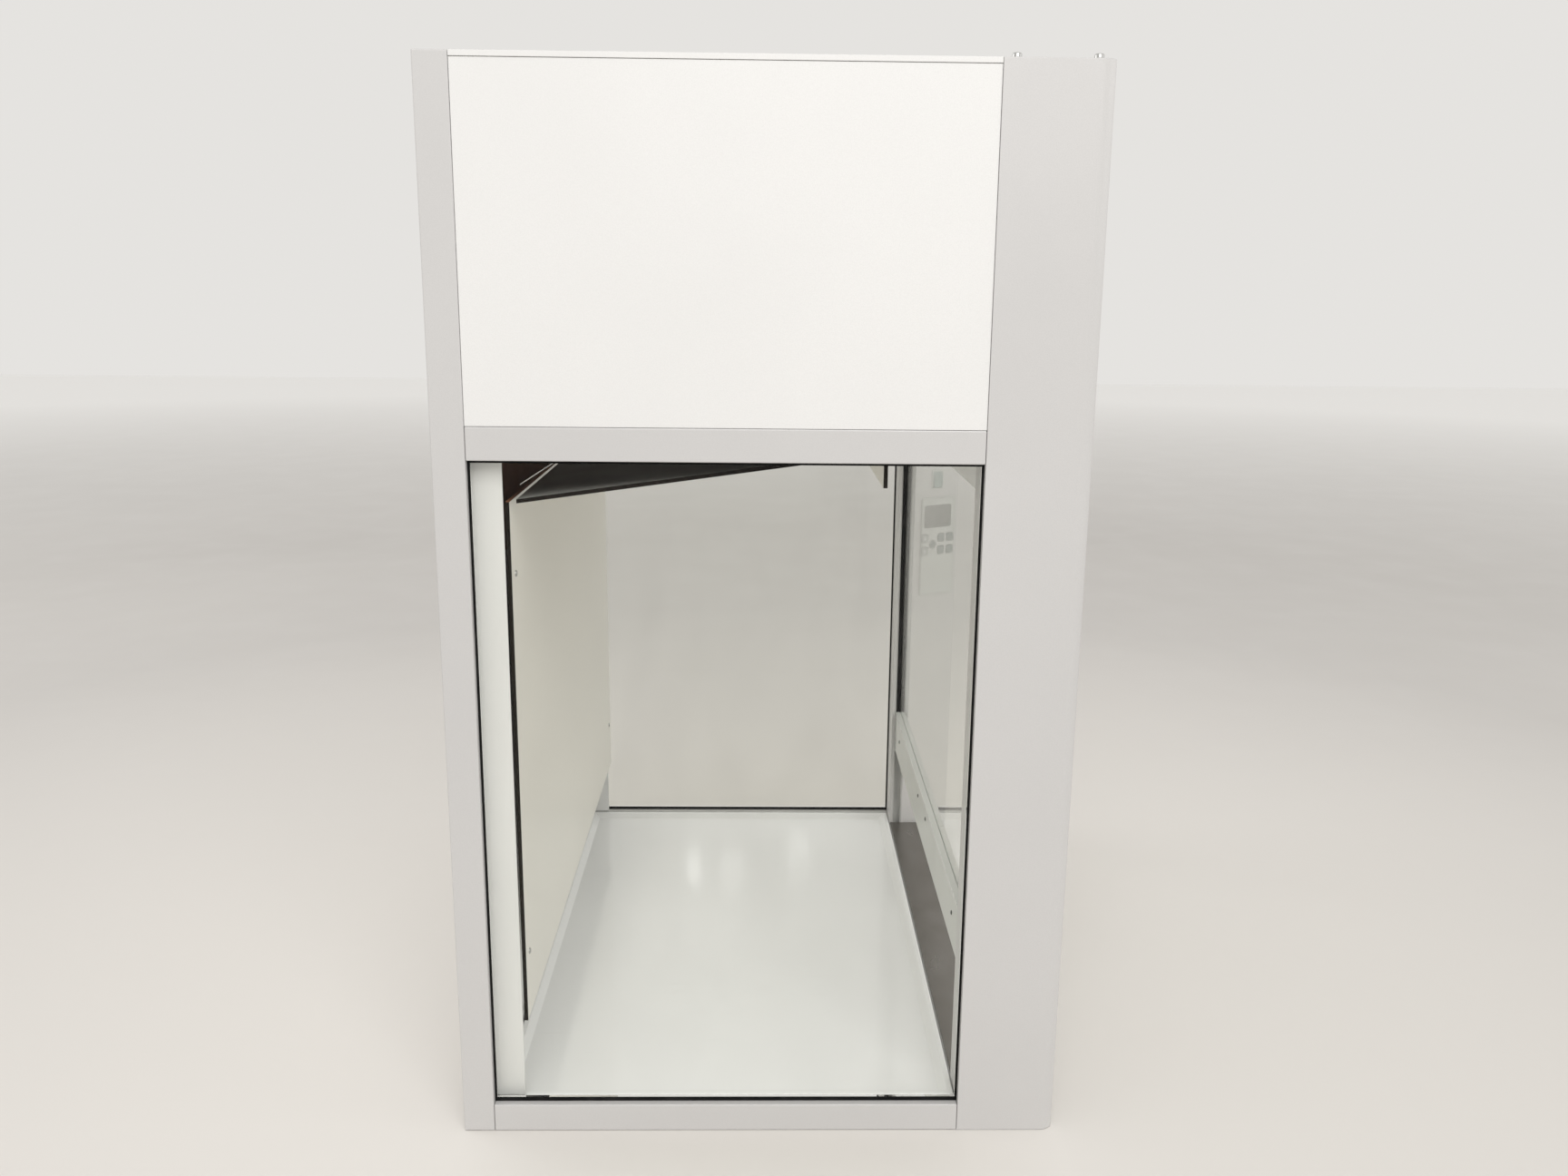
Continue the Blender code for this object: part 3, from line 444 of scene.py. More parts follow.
def laminate(name, axis, upper_shades):
    """Off-white compact laminate with a dark core at its edges and the given shades on upward faces; on the
    sloping baffle these are a painted shade.
    """
    made = Finish(name, (0.82, 0.80, 0.745), 0.36)
    side = made.facing(axis)
    across = made.math("MULTIPLY", side, -1.0) if axis == "Z" else made.math("ABSOLUTE", side)
    face = made.math("GREATER_THAN", across, 0.8)
    layers = made.noise(900.0, 3.0, (0.02, 0.02 if axis == "Z" else 1.0, 1.0))
    core = made.blend(layers, (0.006, 0.005, 0.004), (0.022, 0.017, 0.013))
    # Upward faces take the given shades, which on the sloping baffle are a painted shade
    top = made.math("GREATER_THAN", made.facing("Z"), 0.8)
    mottle = made.remap(made.noise(12.0, 5.0), 0.35, 0.7)
    edges = made.blend(top, core, made.blend(mottle, *upper_shades))
    made.drive("Base Color", made.blend(face, edges, made.tone(0.02, 5.0)))
    made.drive("Specular IOR Level", made.remap(face, 0.0, 1.0, 0.08, 0.5))
    shine = made.remap(made.noise(2.5, 3.0), 0.3, 0.7, 0.34, 0.40)
    duller = made.math("MULTIPLY", made.math("SUBTRACT", 1.0, face), 0.3)
    made.drive("Roughness", made.math("ADD", shine, duller))
    made.bump(made.noise(700.0, 2.0), 0.00001)
    return made.material


def track_plastic():
    made = Finish("track_channel_grey", (0.64, 0.64, 0.625), 0.5)
    rub = made.remap(made.noise(90.0, 4.0, (1.0, 1.0, 0.05)), 0.45, 0.7)
    made.drive("Base Color", made.blend(rub, made.tone(0.06, 30.0), (0.74, 0.74, 0.72)))
    made.drive("Roughness", made.remap(made.noise(120.0, 3.0, (1.0, 1.0, 0.1)), 0.3, 0.7, 0.38, 0.58))
    made.bump(made.noise(500.0, 2.0, (1.0, 1.0, 0.1)), 0.00005)
    return made.material


def bright_steel(name, colour):
    made = Finish(name, colour, 0.28, 1.0)
    normal, edges = made.rounded(0.0005)
    # The edges are painted lighter, a painted highlight
    made.drive("Base Color", made.blend(edges, made.tone(0.08, 120.0), (0.75, 0.75, 0.74)))
    made.drive("Roughness", made.remap(made.noise(400.0, 3.0), 0.3, 0.7, 0.2, 0.38))
    made.bump(made.noise(1200.0, 2.0), 0.00002, normal)
    return made.material


def galvanised():
    """Zinc-coated sheet with its patches of crystal spangle."""
    made = Finish("galvanised_sheet", (0.48, 0.49, 0.50), 0.4, 1.0)
    spangle = made.cells(70.0, "F1", "Color")
    made.drive("Base Color", made.blend(spangle, (0.38, 0.39, 0.41), (0.58, 0.59, 0.60)))
    made.drive("Roughness", made.remap(spangle, 0.0, 1.0, 0.3, 0.5))
    made.bump(made.noise(240.0, 3.0), 0.00006)
    return made.material


def wire_rope():
    """Stranded steel cable: the lay of its strands runs round it."""
    made = Finish("wire_rope", (0.45, 0.45, 0.44), 0.35, 1.0)
    along = made.math("ADD", made.coordinate("Z"), made.coordinate("Y"))
    slant = made.math("ADD", along, made.math("MULTIPLY", made.coordinate("X"), 1.6))
    strands = made.math("ABSOLUTE", made.math("SINE", made.math("MULTIPLY", slant, 3600.0)))
    # The grooves between strands are painted dark, a painted shade
    made.drive("Base Color", made.blend(strands, (0.10, 0.10, 0.10), (0.55, 0.55, 0.54)))
    made.drive("Roughness", made.remap(made.noise(300.0, 3.0), 0.3, 0.7, 0.28, 0.45))
    made.bump(strands, 0.0003)
    return made.material


def cast_iron():
    made = Finish("painted_cast_iron", (0.035, 0.035, 0.037), 0.55, 0.2)
    normal, edges = made.rounded(0.002)
    chips = made.math("MULTIPLY", edges, made.remap(made.noise(90.0, 5.0), 0.48, 0.6))
    made.drive("Base Color", made.blend(chips, made.tone(0.2, 20.0), (0.16, 0.13, 0.11)))
    made.drive("Roughness", made.remap(made.noise(60.0, 5.0), 0.3, 0.7, 0.45, 0.7))
    made.bump(made.noise(180.0, 6.0), 0.0004, normal)
    return made.material


def frosted_lens():
    made = Finish("frosted_lens", (0.84, 0.85, 0.84), 0.35)
    made.set("Subsurface Weight", 0.2)
    made.set("Subsurface Radius", (0.004, 0.004, 0.004))
    ribs = made.math("ABSOLUTE", made.math("SINE", made.math("MULTIPLY", made.coordinate("X"), 900.0)))
    made.drive("Base Color", made.tone(0.03, 20.0))
    made.drive("Roughness", made.remap(made.noise(200.0, 2.0), 0.3, 0.7, 0.28, 0.42))
    made.bump(ribs, 0.0004)
    return made.material


def moulded_plastic(name, colour, roughness):
    """Injection-moulded plastic: a fine spark-eroded grain, handled smooth in places."""
    made = Finish(name, colour, roughness)
    normal, edges = made.rounded(0.0006)
    # The edges are painted lighter, a painted highlight
    lighter = [min(1.0, channel * 1.12) for channel in colour]
    made.drive("Base Color", made.blend(edges, made.tone(0.03, 50.0), lighter))
    made.drive("Roughness", made.remap(made.noise(60.0, 4.0), 0.3, 0.7, roughness - 0.07, roughness + 0.07))
    made.bump(made.noise(1600.0, 2.0), 0.00004, normal)
    return made.material


def display_window():
    """The unlit liquid-crystal window: grey-green, with the fine grid of its cells."""
    made = Finish("display_window", (0.085, 0.094, 0.076), 0.12)
    made.set("Coat Weight", 0.2)
    made.set("Coat Roughness", 0.04)
    grid = made.remap(made.cells(420.0, "DISTANCE_TO_EDGE", "Distance"), 0.0, 0.08)
    made.drive("Base Color", made.blend(grid, (0.07, 0.077, 0.062), made.tone(0.05, 25.0)))
    made.drive("Roughness", made.remap(made.noise(40.0, 3.0), 0.3, 0.7, 0.1, 0.2))
    return made.material


def rocker_plastic():
    made = Finish("green_rocker", (0.21, 0.30, 0.27), 0.26)
    made.set("Subsurface Weight", 0.15)
    made.set("Subsurface Radius", (0.002, 0.003, 0.002))
    normal, edges = made.rounded(0.0008)
    # The edges are painted lighter, a painted highlight
    made.drive("Base Color", made.blend(edges, made.tone(0.06, 60.0), (0.34, 0.43, 0.39)))
    made.drive("Roughness", made.remap(made.noise(80.0, 4.0), 0.3, 0.7, 0.2, 0.34))
    made.bump(made.noise(1200.0, 2.0), 0.00003, normal)
    return made.material


def floor_finish():
    made = Finish("pale_floor", (0.59, 0.572, 0.55), 0.65)
    distance = made.add("VectorMath")
    distance.operation = "LENGTH"
    made.link(made.place, distance.inputs[0])
    # The floor is painted lighter round the hood out to 2.4 m, a painted pool of light, plain and darker
    # beyond it, then fades to near white from 4 to 12 m away
    around = made.remap(distance.outputs["Value"], 0.7, 2.4)
    away = made.remap(distance.outputs["Value"], 4.0, 12.0)
    painted_light_pool = made.blend(around, (0.76, 0.735, 0.70), made.tone(0.015, 0.8))
    made.drive("Base Color", made.blend(away, painted_light_pool, (0.97, 0.965, 0.955)))
    made.drive("Roughness", made.remap(made.noise(4.0, 4.0), 0.3, 0.7, 0.5, 0.7))
    made.bump(made.noise(60.0, 4.0), 0.0002)
    return made.material


# ---------------------------------------------------------------------------------------------------
# Geometry helpers
# ---------------------------------------------------------------------------------------------------


def aligned(centre, direction):
    """A matrix whose Z runs along direction, at centre."""
    turn = Vector(direction).to_track_quat("Z", "Y").to_matrix().to_4x4()
    return Matrix.Translation(Vector(centre)) @ turn


def add_turned(shape, profile, place, steps, recess=None):
    """Adds a closed turned solid, whose profile runs from axis to axis.

    Each point is (radius, height, in_recess). Points in the recess follow its outline, a share of the radius
    at each angle.
    """
    rings = []
    for radius, height, in_recess in profile:
        if radius == 0:
            rings.append([shape.verts.new(place @ Vector((0, 0, height)))])
            continue
        ring = []
        for step in range(steps):
            angle = FULL_TURN * step / steps
            reach = radius * (recess(angle) if in_recess else 1)
            point = Vector((reach * math.cos(angle), reach * math.sin(angle), height))
            ring.append(shape.verts.new(place @ point))
        rings.append(ring)
    for lower, upper in zip(rings, rings[1:]):
        for step in range(steps):
            after = (step + 1) % steps
            if len(lower) == 1:
                corners = (lower[0], upper[after], upper[step])
            elif len(upper) == 1:
                corners = (lower[step], lower[after], upper[0])
            else:
                corners = (lower[step], lower[after], upper[after], upper[step])
            shape.faces.new(corners)


def hexagon(angle):
    """Outline of a hexagonal socket."""
    return math.cos(math.pi / 6) / math.cos(angle % (math.pi / 3) - math.pi / 6)


def cross(angle):
    """Outline of a crossed recess."""
    return 0.30 + 0.70 * abs(math.cos(2 * angle)) ** 3


def add_screw(shape, centre, direction, radius, recess=cross):
    """Adds a domed head that stands on a surface, with a hexagonal or crossed recess."""
    dome = [(radius, 0.0, False), (radius, 0.12 * radius, False)]
    for step in range(1, 5):
        angle = math.radians(16 * step)
        dome.append((radius * math.cos(angle), radius * (0.12 + 0.42 * math.sin(angle)), False))
    rim = radius * 0.52
    top = dome[-1][1]
    profile = [(0, 0.0, False), *dome[:-1], (rim, top, True), (rim * 0.94, top - 0.34 * radius, True)]
    profile.append((0, top - 0.40 * radius, False))
    add_turned(shape, profile, aligned(centre, direction), SCREW_STEPS, recess)


def add_prism(shape, outline, low, high, place):
    """Adds an outline in the place's XY plane, extruded from low to high along its Z."""
    lower = [shape.verts.new(place @ Vector((x, y, low))) for x, y in outline]
    upper = [shape.verts.new(place @ Vector((x, y, high))) for x, y in outline]
    shape.faces.new(lower[::-1])
    shape.faces.new(upper)
    for i in range(len(outline)):
        j = (i + 1) % len(outline)
        shape.faces.new((lower[i], lower[j], upper[j], upper[i]))


def rectangle(left, bottom, right, top):
    return [(left, bottom), (right, bottom), (right, top), (left, top)]


def add_block(shape, low, high):
    add_prism(shape, rectangle(*low[:2], *high[:2]), low[2], high[2], Matrix.Identity(4))


def rounded_rectangle(width, height, corner):
    outline = []
    for quarter, (sx, sy) in enumerate(((1, 1), (-1, 1), (-1, -1), (1, -1))):
        cx = sx * (width / 2 - corner)
        cy = sy * (height / 2 - corner)
        for step in range(CORNER_STEPS + 1):
            angle = math.pi / 2 * (quarter + step / CORNER_STEPS)
            outline.append((cx + corner * math.cos(angle), cy + corner * math.sin(angle)))
    return outline


def ellipse(half_width, half_height, steps):
    angles = [FULL_TURN * step / steps for step in range(steps)]
    return [(half_width * math.cos(angle), half_height * math.sin(angle)) for angle in angles]


def circle(radius, steps=24):
    return ellipse(radius, radius, steps)


def add_ring(shape, outer, inner, low, high, place):
    """Adds a flat band between two outlines that have the same number of points."""
    count = len(outer)
    levels = []
    for height in (low, high):
        for outline in (outer, inner):
            levels.append([shape.verts.new(place @ Vector((x, y, height))) for x, y in outline])
    outer_low, inner_low, outer_high, inner_high = levels
    for i in range(count):
        j = (i + 1) % count
        shape.faces.new((outer_low[i], outer_low[j], outer_high[j], outer_high[i]))
        shape.faces.new((inner_low[j], inner_low[i], inner_high[i], inner_high[j]))
        shape.faces.new((outer_high[i], outer_high[j], inner_high[j], inner_high[i]))
        shape.faces.new((outer_low[j], outer_low[i], inner_low[i], inner_low[j]))


def add_strip(shape, path, width, thickness, across):
    """Adds a thin bent strip: path is its line, across its width's direction."""
    across = Vector(across).normalized()
    points = [Vector(p) for p in path]
    rings = []
    for i, point in enumerate(points):
        along = (points[min(i + 1, len(points) - 1)] - points[max(i - 1, 0)]).normalized()
        out = along.cross(across).normalized()
        corners = ((-1, -1), (1, -1), (1, 1), (-1, 1))
        ring = [point + across * (sx * width / 2) + out * (sz * thickness / 2) for sx, sz in corners]
        rings.append([shape.verts.new(corner) for corner in ring])
    shape.faces.new(rings[0][::-1])
    shape.faces.new(rings[-1])
    for lower, upper in zip(rings, rings[1:]):
        for i in range(4):
            j = (i + 1) % 4
            shape.faces.new((lower[i], lower[j], upper[j], upper[i]))


def finish_piece(shape, name, body, material, bevel=0.0, smooth=True):
    """Makes the object, gives it its finish and lets it ride on a body."""
    mesh = bpy.data.meshes.new(name)
    bmesh.ops.recalc_face_normals(shape, faces=shape.faces[:])
    shape.to_mesh(mesh)
    shape.free()
    piece = bpy.data.objects.new(name, mesh)
    bpy.context.scene.collection.objects.link(piece)
    if smooth:
        mesh.shade_smooth()
        mesh.set_sharp_from_angle(angle=SHARP_ANGLE)
    if bevel:
        modifier = piece.modifiers.new("soft_edges", "BEVEL")
        modifier.width = bevel
        modifier.segments = 2
        modifier.angle_limit = BEVEL_ANGLE
    mesh.materials.append(material)
    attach(piece, body)


def screws(name, places, radius, body="cabinet", recess=cross, material=None):
    """One piece that holds a set of screws, each given by its place and the way it faces."""
    shape = bmesh.new()
    for centre, direction in places:
        add_screw(shape, centre, direction, radius, recess)
    finish_piece(shape, name, body, material or SCREW_STEEL)


# ---------------------------------------------------------------------------------------------------
# Fittings
# ---------------------------------------------------------------------------------------------------


def spaced(low, high, count):
    return [low + (high - low) * i / (count - 1) for i in range(count)]


def baffle_fixings():
    """Four screws through the rear baffle, and the stay that holds the upper baffle at each end."""
    low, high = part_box("rear_baffle")
    x = high.x - BAFFLE_SCREW_INSET
    places = [((side * x, low.y, z), FORWARD) for side in SIDES.values() for z in BAFFLE_SCREW_HEIGHTS]
    screws("rear_baffle_screws", places, BAFFLE_HEAD)
    low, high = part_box("upper_baffle")
    for label, side in SIDES.items():
        shape = bmesh.new()
        edge = side * (high.x - STAY_INSET)
        path = [(edge, high.y - STAY_FOOT[0], low.z + STAY_FOOT[1])]
        path += [(edge, y, z) for y, z in STAY_BENDS]
        add_strip(shape, path, *STAY_SECTION, SIDEWAYS)
        finish_piece(shape, f"upper_baffle_stay_{label}", "cabinet", SCREW_STEEL, SHEET_BEVEL)


def column_fittings():
    """Rivets behind each column, and the leaf spring that steadies the sash in its track."""
    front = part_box("sash_track_right")[0].y + SPRING_STAND_OFF
    for label, side in SIDES.items():
        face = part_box(f"side_window_{label}")[0].y - RIVET_LEDGE
        places = [((side * RIVET_X, face, z), REARWARD) for z in RIVET_HEIGHTS]
        screws(f"column_rivets_{label}", places, RIVET_HEAD, material=DARK_STEEL)
        shape = bmesh.new()
        path = []
        for step in range(SPRING_STEPS + 1):
            share = step / SPRING_STEPS
            bow = SPRING_BOW * math.sin(math.pi * share) ** 2
            path.append((side * SPRING_X, front + bow, SPRING_BOTTOM + SPRING_LENGTH * share))
        add_strip(shape, path, *SPRING_SECTION, SIDEWAYS)
        finish_piece(shape, f"track_spring_{label}", "cabinet", SCREW_STEEL)


def sash_fittings():
    """Screws behind the grip rail, a bright trim strip along its top and a clip at each end."""
    low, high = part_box("sash_bottom_rail")
    rear = high.y
    places = [((x, rear, z), REARWARD) for x, z in RAIL_SCREWS]
    screws("sash_rail_screws", places, RAIL_HEAD, "sash", hexagon, DARK_STEEL)
    shape = bmesh.new()
    depth, height = BEAD_SECTION
    start = (low.x + RAIL_END_GAP, rear, high.z - height)
    add_block(shape, start, (high.x - RAIL_END_GAP, rear + depth, high.z))
    finish_piece(shape, "sash_glazing_bead", "sash", POLISHED, TRIM_BEVEL)
    for label, side in SIDES.items():
        shape = bmesh.new()
        outer = side * (high.x - RAIL_END_GAP)
        inner = outer - side * CLIP_WIDTH
        proud = rear + CLIP_THICKNESS
        start = (min(outer, inner), rear, CLIP_HEIGHTS[0])
        add_block(shape, start, (max(outer, inner), proud, CLIP_HEIGHTS[1]))
        for z in CLIP_SCREW_HEIGHTS:
            add_screw(shape, ((outer + inner) / 2, proud, z), REARWARD, RIVET_HEAD)
        finish_piece(shape, f"sash_end_clip_{label}", "sash", SCREW_STEEL, SHEET_BEVEL)


def sleeve(name, x, y, z, body):
    """A crimped ferrule round a cable, with its two pressed waists."""
    shape = bmesh.new()
    rings = []
    for radius, height in SLEEVE_PROFILE:
        ring = [(x + along, y + out, z + height) for along, out in circle(radius, SLEEVE_STEPS)]
        rings.append([shape.verts.new(point) for point in ring])
    for index, lower in enumerate(rings):
        upper = rings[(index + 1) % len(rings)]
        for i in range(SLEEVE_STEPS):
            j = (i + 1) % SLEEVE_STEPS
            shape.faces.new((lower[i], lower[j], upper[j], upper[i]))
    finish_piece(shape, name, body, SCREW_STEEL)


def cable_fittings():
    """A sleeve at each end of both cables, under the lugs on the sash and on the weight."""
    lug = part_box("sash_top_rail")[0].z - SLEEVE_DROP
    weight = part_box("counterweight")[0].z - SLEEVE_DROP
    for label in SIDES:
        low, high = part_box(f"sash_cable_{label}")
        x = (low.x + high.x) / 2
        radius = (high.x - low.x) / 2
        sleeve(f"sash_ferrule_{label}", x, low.y + radius, lug, "sash")
        sleeve(f"weight_ferrule_{label}", x, high.y - radius, weight, "counterweight_bar")


def rear_panel_screws():
    low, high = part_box("rear_panel")
    x = high.x - REAR_INSET
    places = []
    for z in spaced(low.z + REAR_INSET, high.z - REAR_INSET, REAR_SIDE_ROWS):
        places += [((side * x, high.y, z), REARWARD) for side in SIDES.values()]
    for x in spaced(low.x + REAR_END_INSET, high.x - REAR_END_INSET, EDGE_COUNT):
        places += [((x, high.y, z), REARWARD) for z in (low.z + REAR_INSET, high.z - REAR_INSET)]
    screws("rear_panel_screws", places, PANEL_HEAD)


def roof_screws():
    low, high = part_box("roof_panel")
    x = high.x - ROOF_SIDE_INSET
    places = []
    for y in spaced(low.y + ROOF_SIDE_END, high.y - ROOF_SIDE_END, EDGE_COUNT):
        places += [((side * x, y, high.z), UPWARD) for side in SIDES.values()]
    for x in spaced(low.x + ROOF_EDGE_END, high.x - ROOF_EDGE_END, EDGE_COUNT):
        places += [((x, y, high.z), UPWARD) for y in (low.y + ROOF_EDGE_INSET, high.y - ROOF_EDGE_INSET)]
    screws("roof_screws", places, ROOF_HEAD)


def collar_screws():
    low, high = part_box("exhaust_collar")
    centre = (low + high) / 2
    reach = (high.x - low.x) / 2 - FLANGE_INSET
    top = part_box("roof_panel")[1].z + FLANGE_THICKNESS
    places = []
    for step in range(FLANGE_COUNT):
        angle = FULL_TURN / FLANGE_COUNT * (step + 0.5)
        point = (centre.x + reach * math.cos(angle), centre.y + reach * math.sin(angle), top)
        places.append((point, UPWARD))
    screws("collar_flange_screws", places, PANEL_HEAD)


def header_screws():
    low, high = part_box("front_header")
    heights = (low.z + HEADER_SCREW_INSET, high.z - HEADER_SCREW_INSET)
    places = [((side * HEADER_SCREW_X, low.y, z), FORWARD) for side in SIDES.values() for z in heights]
    screws("header_screws", places, BAFFLE_HEAD, recess=hexagon)


def column_cap_screws():
    """Bright domed caps over the two cap-screw heads on top of each column."""
    low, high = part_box("front_column_right")
    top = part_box("roof_panel")[1].z + CAP_LIFT
    shape = bmesh.new()
    for side in SIDES.values():
        for y in (high.y - CAP_REAR_INSET, low.y + CAP_FRONT_INSET):
            place = Matrix.Translation((side * (high.x - CAP_SIDE_INSET), y, top))
            add_turned(shape, CAP_PROFILE, place, CAP_STEPS, hexagon)
    finish_piece(shape, "column_cap_screws", "cabinet", SCREW_STEEL)


# ---------------------------------------------------------------------------------------------------
# Controls
# ---------------------------------------------------------------------------------------------------


def face_level(node):
    """How far a control's top stands out along the right column's flared face's normal."""
    return max(vertex.co.dot(FLARE_OUT) for vertex in NODES[node].data.vertices)


def face_matrix(node):
    """Local axes on top of a control that lies on the flared face: X along it, Y up, Z out."""
    low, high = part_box(node)
    centre = (low + high) / 2
    centre += FLARE_OUT * (face_level(node) - centre.dot(FLARE_OUT))
    turn = Matrix((FLARE_ALONG, Vector(UPWARD), FLARE_OUT)).transposed().to_4x4()
    return Matrix.Translation(centre) @ turn


def mark(shape, outline, place):
    add_prism(shape, outline, 0.0, MARK_THICKNESS, place)


def symbol_up(shape, place):
    mark(shape, [(-0.0030, -0.0022), (0.0030, -0.0022), (0.0, 0.0030)], place)


def symbol_down(shape, place):
    mark(shape, [(0.0, -0.0030), (0.0030, 0.0022), (-0.0030, 0.0022)], place)


def symbol_enter(shape, place):
    add_ring(shape, circle(0.0030), circle(0.0022), 0.0, MARK_THICKNESS, place)
    mark(shape, circle(0.0009, 16), place)


def symbol_light(shape, place):
    mark(shape, circle(0.0015, 20), place)
    for step in range(8):
        turned = place @ Matrix.Rotation(FULL_TURN / 8 * step, 4, "Z")
        mark(shape, rectangle(0.0021, -0.00025, 0.0032, 0.00025), turned)


def symbol_fan(shape, place):
    for step in range(3):
        turned = place @ Matrix.Rotation(FULL_TURN / 3 * step, 4, "Z")
        mark(shape, ellipse(0.0013, 0.0008, 14), turned @ Matrix.Translation((0.0019, 0, 0)))


def symbol_mute(shape, place):
    horn = [(-0.0028, -0.0009), (-0.0014, -0.0009), (0.0002, -0.0024)]
    horn += [(x, -y) for x, y in reversed(horn)]
    mark(shape, horn, place)
    for angle in (0.7, -0.7):
        bar = place @ Matrix.Translation((0.0020, 0, 0)) @ Matrix.Rotation(angle, 4, "Z")
        mark(shape, rectangle(-0.0012, -0.0002, 0.0012, 0.0002), bar)


def symbol_menu(shape, place):
    for y in (-0.0018, 0.0, 0.0018):
        mark(shape, rectangle(-0.0026, y - 0.0004, 0.0026, y + 0.0004), place)


ARROW_KEYS = ("key_up", "key_down")
SYMBOLS = {
    "key_up": symbol_up,
    "key_down": symbol_down,
    "key_enter": symbol_enter,
    "key_light": symbol_light,
    "key_fan": symbol_fan,
    "key_mute": symbol_mute,
    "key_menu": symbol_menu,
}


def key_marks():
    """A printed symbol on each key, which moves with it, and an outline on the panel round it."""
    ink = moulded_plastic("symbol_ink", (0.045, 0.075, 0.065), 0.45)
    white_ink = moulded_plastic("arrow_ink", (0.82, 0.83, 0.81), 0.45)
    outline_ink = moulded_plastic("outline_ink", (0.03, 0.045, 0.04), 0.42)
    panel_level = face_level("control_panel")
    for key, draw in SYMBOLS.items():
        shape = bmesh.new()
        draw(shape, face_matrix(key))
        shade = white_ink if key in ARROW_KEYS else ink
        finish_piece(shape, f"{key}_symbol", f"{key}_button", shade, smooth=False)
        shape = bmesh.new()
        lowered = face_matrix(key) @ Matrix.Translation((0, 0, panel_level - face_level(key)))
        corners = ROUND_KEY_CORNERS if key == "key_enter" else KEY_OUTLINE_CORNERS
        sizes = zip(KEY_OUTLINE_SIZES, corners)
        outer, inner = (rounded_rectangle(size, size, corner) for size, corner in sizes)
        add_ring(shape, outer, inner, 0.0, OUTLINE_THICKNESS, lowered)
        finish_piece(shape, f"{key}_outline", "cabinet", outline_ink, smooth=False)


def panel_marks():
    """The panel's indicator lamp and its border, and the frame printed round the display."""
    panel = face_matrix("control_panel")
    shape = bmesh.new()
    add_turned(shape, STATUS_LAMP_PROFILE, panel @ Matrix.Translation(STATUS_LAMP_PLACE), STATUS_LAMP_STEPS)
    finish_piece(shape, "status_lamp", "cabinet", FROSTED)
    shape = bmesh.new()
    low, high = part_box("control_panel")
    width = PANEL_WIDTH - BORDER_INSET
    height = high.z - low.z - BORDER_INSET
    outer = rounded_rectangle(width, height, BORDER_CORNERS[0])
    inner = rounded_rectangle(width - BORDER_WIDTH, height - BORDER_WIDTH, BORDER_CORNERS[1])
    add_ring(shape, outer, inner, 0.0, BORDER_THICKNESS, panel)
    border_grey = moulded_plastic("border_grey", (0.16, 0.18, 0.16), 0.4)
    finish_piece(shape, "panel_border", "cabinet", border_grey)
    shape = bmesh.new()
    outer, inner = (rounded_rectangle(*sizes) for sizes in MASK_OUTLINES)
    add_ring(shape, outer, inner, 0.0, MASK_THICKNESS, face_matrix("control_display"))
    mask_grey = moulded_plastic("mask_grey", (0.10, 0.11, 0.094), 0.3)
    finish_piece(shape, "display_mask", "cabinet", mask_grey)


# ---------------------------------------------------------------------------------------------------
# Assigning finishes
# ---------------------------------------------------------------------------------------------------


def assign_finishes():
    """Gives every CAD node the finish of its record slot, and its own where its faces differ."""
    slots = {part["node"]: part["material_slot"] for part in frame["record"]["subparts"]}
    finishes = {
        "silver_paint": silver_paint(),
        "white_paint": white_paint(),
        "tray_white": tray_gloss(),
        "stainless": brushed_sill(),
        "window_glass": side_glass(),
        "black_rubber": rubber(),
        "liner_board": laminate("laminate_upright", "Y", BARE_BOARD),
        "sash_paint": sash_paint(),
        "track_grey": track_plastic(),
        "steel": SCREW_STEEL,
        "cast_weight": cast_iron(),
        "lens_white": FROSTED,
        "panel_plastic": moulded_plastic("panel_membrane", (0.60, 0.625, 0.595), 0.42),
        "display_grey": display_window(),
        "key_plastic": moulded_plastic("key_plastic", (0.36, 0.39, 0.37), 0.45),
        "switch_green": rocker_plastic(),
    }
    rope = wire_rope()
    green = moulded_plastic("green_key", (0.15, 0.21, 0.19), 0.42)
    particular = {
        "rear_panel": rear_panel_paint(),
        # The sloping baffle's upper face gets a painted shade
        "upper_baffle": laminate("laminate_sloping", "Z", PAINTED_SHADE_TOP),
        "sash_glass": sash_clear_glass(),
        "exhaust_collar": galvanised(),
        "sash_cable_left": rope,
        "sash_cable_right": rope,
    }
    wheel = moulded_plastic("pulley_nylon", (0.08, 0.08, 0.085), 0.4)
    for place in ("front", "rear"):
        for label in SIDES:
            particular[f"{place}_pulley_{label}"] = wheel
    for key in SYMBOLS:
        if key not in ARROW_KEYS:
            particular[key] = green
    for name, node in NODES.items():
        node.data.materials.clear()
        node.data.materials.append(particular.get(name, finishes[slots[name]]))


# ---------------------------------------------------------------------------------------------------
# Studio
# ---------------------------------------------------------------------------------------------------


def area_light(name, place, target, size, watts, colour):
    data = bpy.data.lights.new(name, "AREA")
    data.shape = "RECTANGLE"
    data.size, data.size_y = size
    data.energy = watts
    data.color = colour
    lamp = bpy.data.objects.new(name, data)
    lamp.location = place
    lamp.rotation_euler = (Vector(target) - Vector(place)).to_track_quat("-Z", "Y").to_euler()
    lamp.visible_camera = False
    bpy.context.scene.collection.objects.link(lamp)


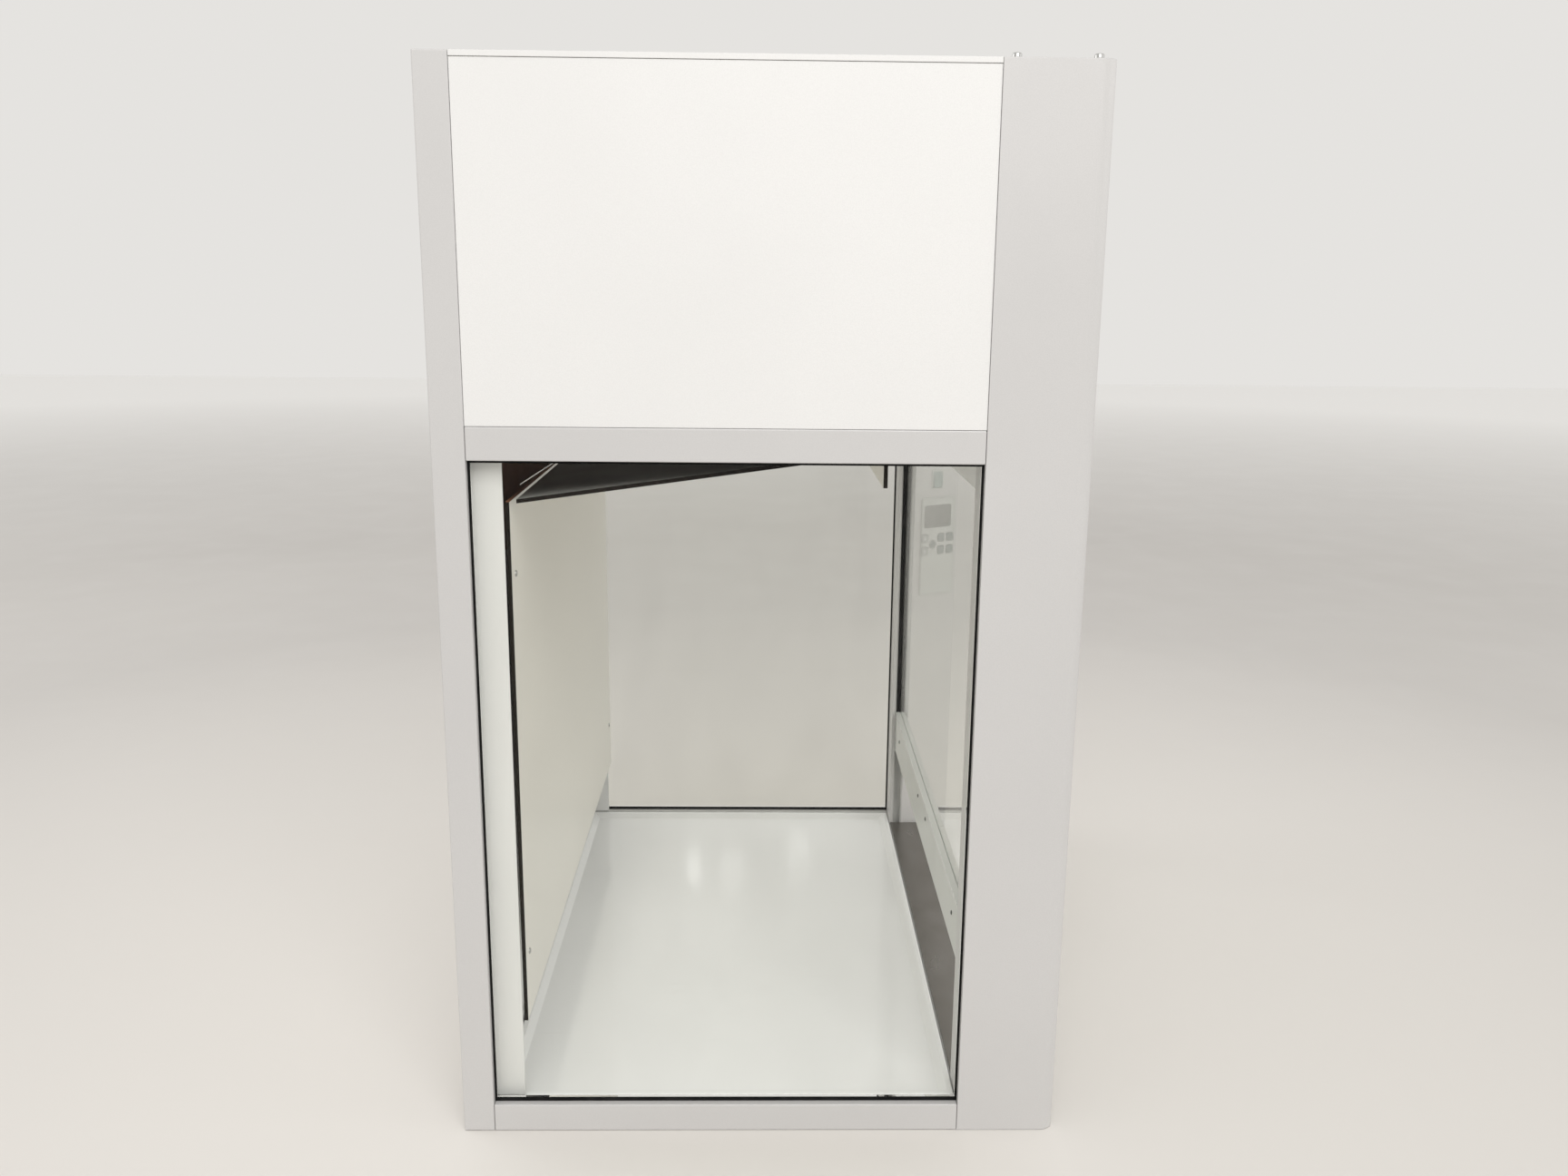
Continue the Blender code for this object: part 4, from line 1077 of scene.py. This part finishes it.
def studio_floor():
    shape = bmesh.new()
    bmesh.ops.create_grid(shape, x_segments=8, y_segments=8, size=FLOOR_HALF_WIDTH)
    bmesh.ops.translate(shape, verts=shape.verts[:], vec=(0, 0, -FLOOR_DROP))
    mesh = bpy.data.meshes.new("studio_floor")
    shape.to_mesh(mesh)
    shape.free()
    floor = bpy.data.objects.new("studio_floor", mesh)
    bpy.context.scene.collection.objects.link(floor)
    mesh.materials.append(floor_finish())


def studio_light():
    world = bpy.data.worlds.new("soft_studio")
    world.use_nodes = True
    backdrop = world.node_tree.nodes["Background"]
    backdrop.inputs["Color"].default_value = SKY_COLOUR
    backdrop.inputs["Strength"].default_value = SKY_STRENGTH
    bpy.context.scene.world = world
    for name, (place, size, watts) in STUDIO_LAMPS.items():
        area_light(name, place, LAMP_TARGET, size, watts, LAMP_COLOUR)
    for number, (y, z, *size) in enumerate(WINDOW_LAMPS):
        name = f"window_lamp_{number}"
        target = (TRAY_AIM_X, TRAY_AIM_SHARE * y, TRAY_AIM_Z)
        area_light(name, (WINDOW_LAMP_X, y, z), target, size, WINDOW_LAMP_WATTS, WINDOW_LAMP_COLOUR)
    view = bpy.context.scene.view_settings
    view.view_transform = "Standard"
    view.look = "None"


def camera():
    data = bpy.data.cameras.new("camera")
    data.lens = CAMERA_LENS
    data.sensor_width = CAMERA_SENSOR
    data.sensor_fit = "HORIZONTAL"
    data.clip_start = 0.01
    made = bpy.data.objects.new("camera", data)
    bpy.context.scene.collection.objects.link(made)
    near_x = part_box("rear_post_left")[0].x
    stand = Matrix.Translation((near_x - CAMERA_DISTANCE, CAMERA_SIDEWAYS, CAMERA_HEIGHT))
    turn = Matrix.Rotation(CAMERA_YAW - math.pi / 2, 4, "Z")
    tilt = Matrix.Rotation(math.pi / 2 - CAMERA_PITCH, 4, "X")
    made.matrix_world = stand @ turn @ tilt @ Matrix.Rotation(CAMERA_ROLL, 4, "Z")
    bpy.context.scene.camera = made


SCREW_STEEL = bright_steel("bright_steel", (0.52, 0.52, 0.51))
DARK_STEEL = bright_steel("dark_steel", (0.13, 0.13, 0.125))
POLISHED = bright_steel("polished_trim", (0.93, 0.93, 0.92))
FROSTED = frosted_lens()
camera()
studio_floor()
studio_light()
assign_finishes()
baffle_fixings()
column_fittings()
sash_fittings()
cable_fittings()
rear_panel_screws()
roof_screws()
collar_screws()
header_screws()
column_cap_screws()
key_marks()
panel_marks()
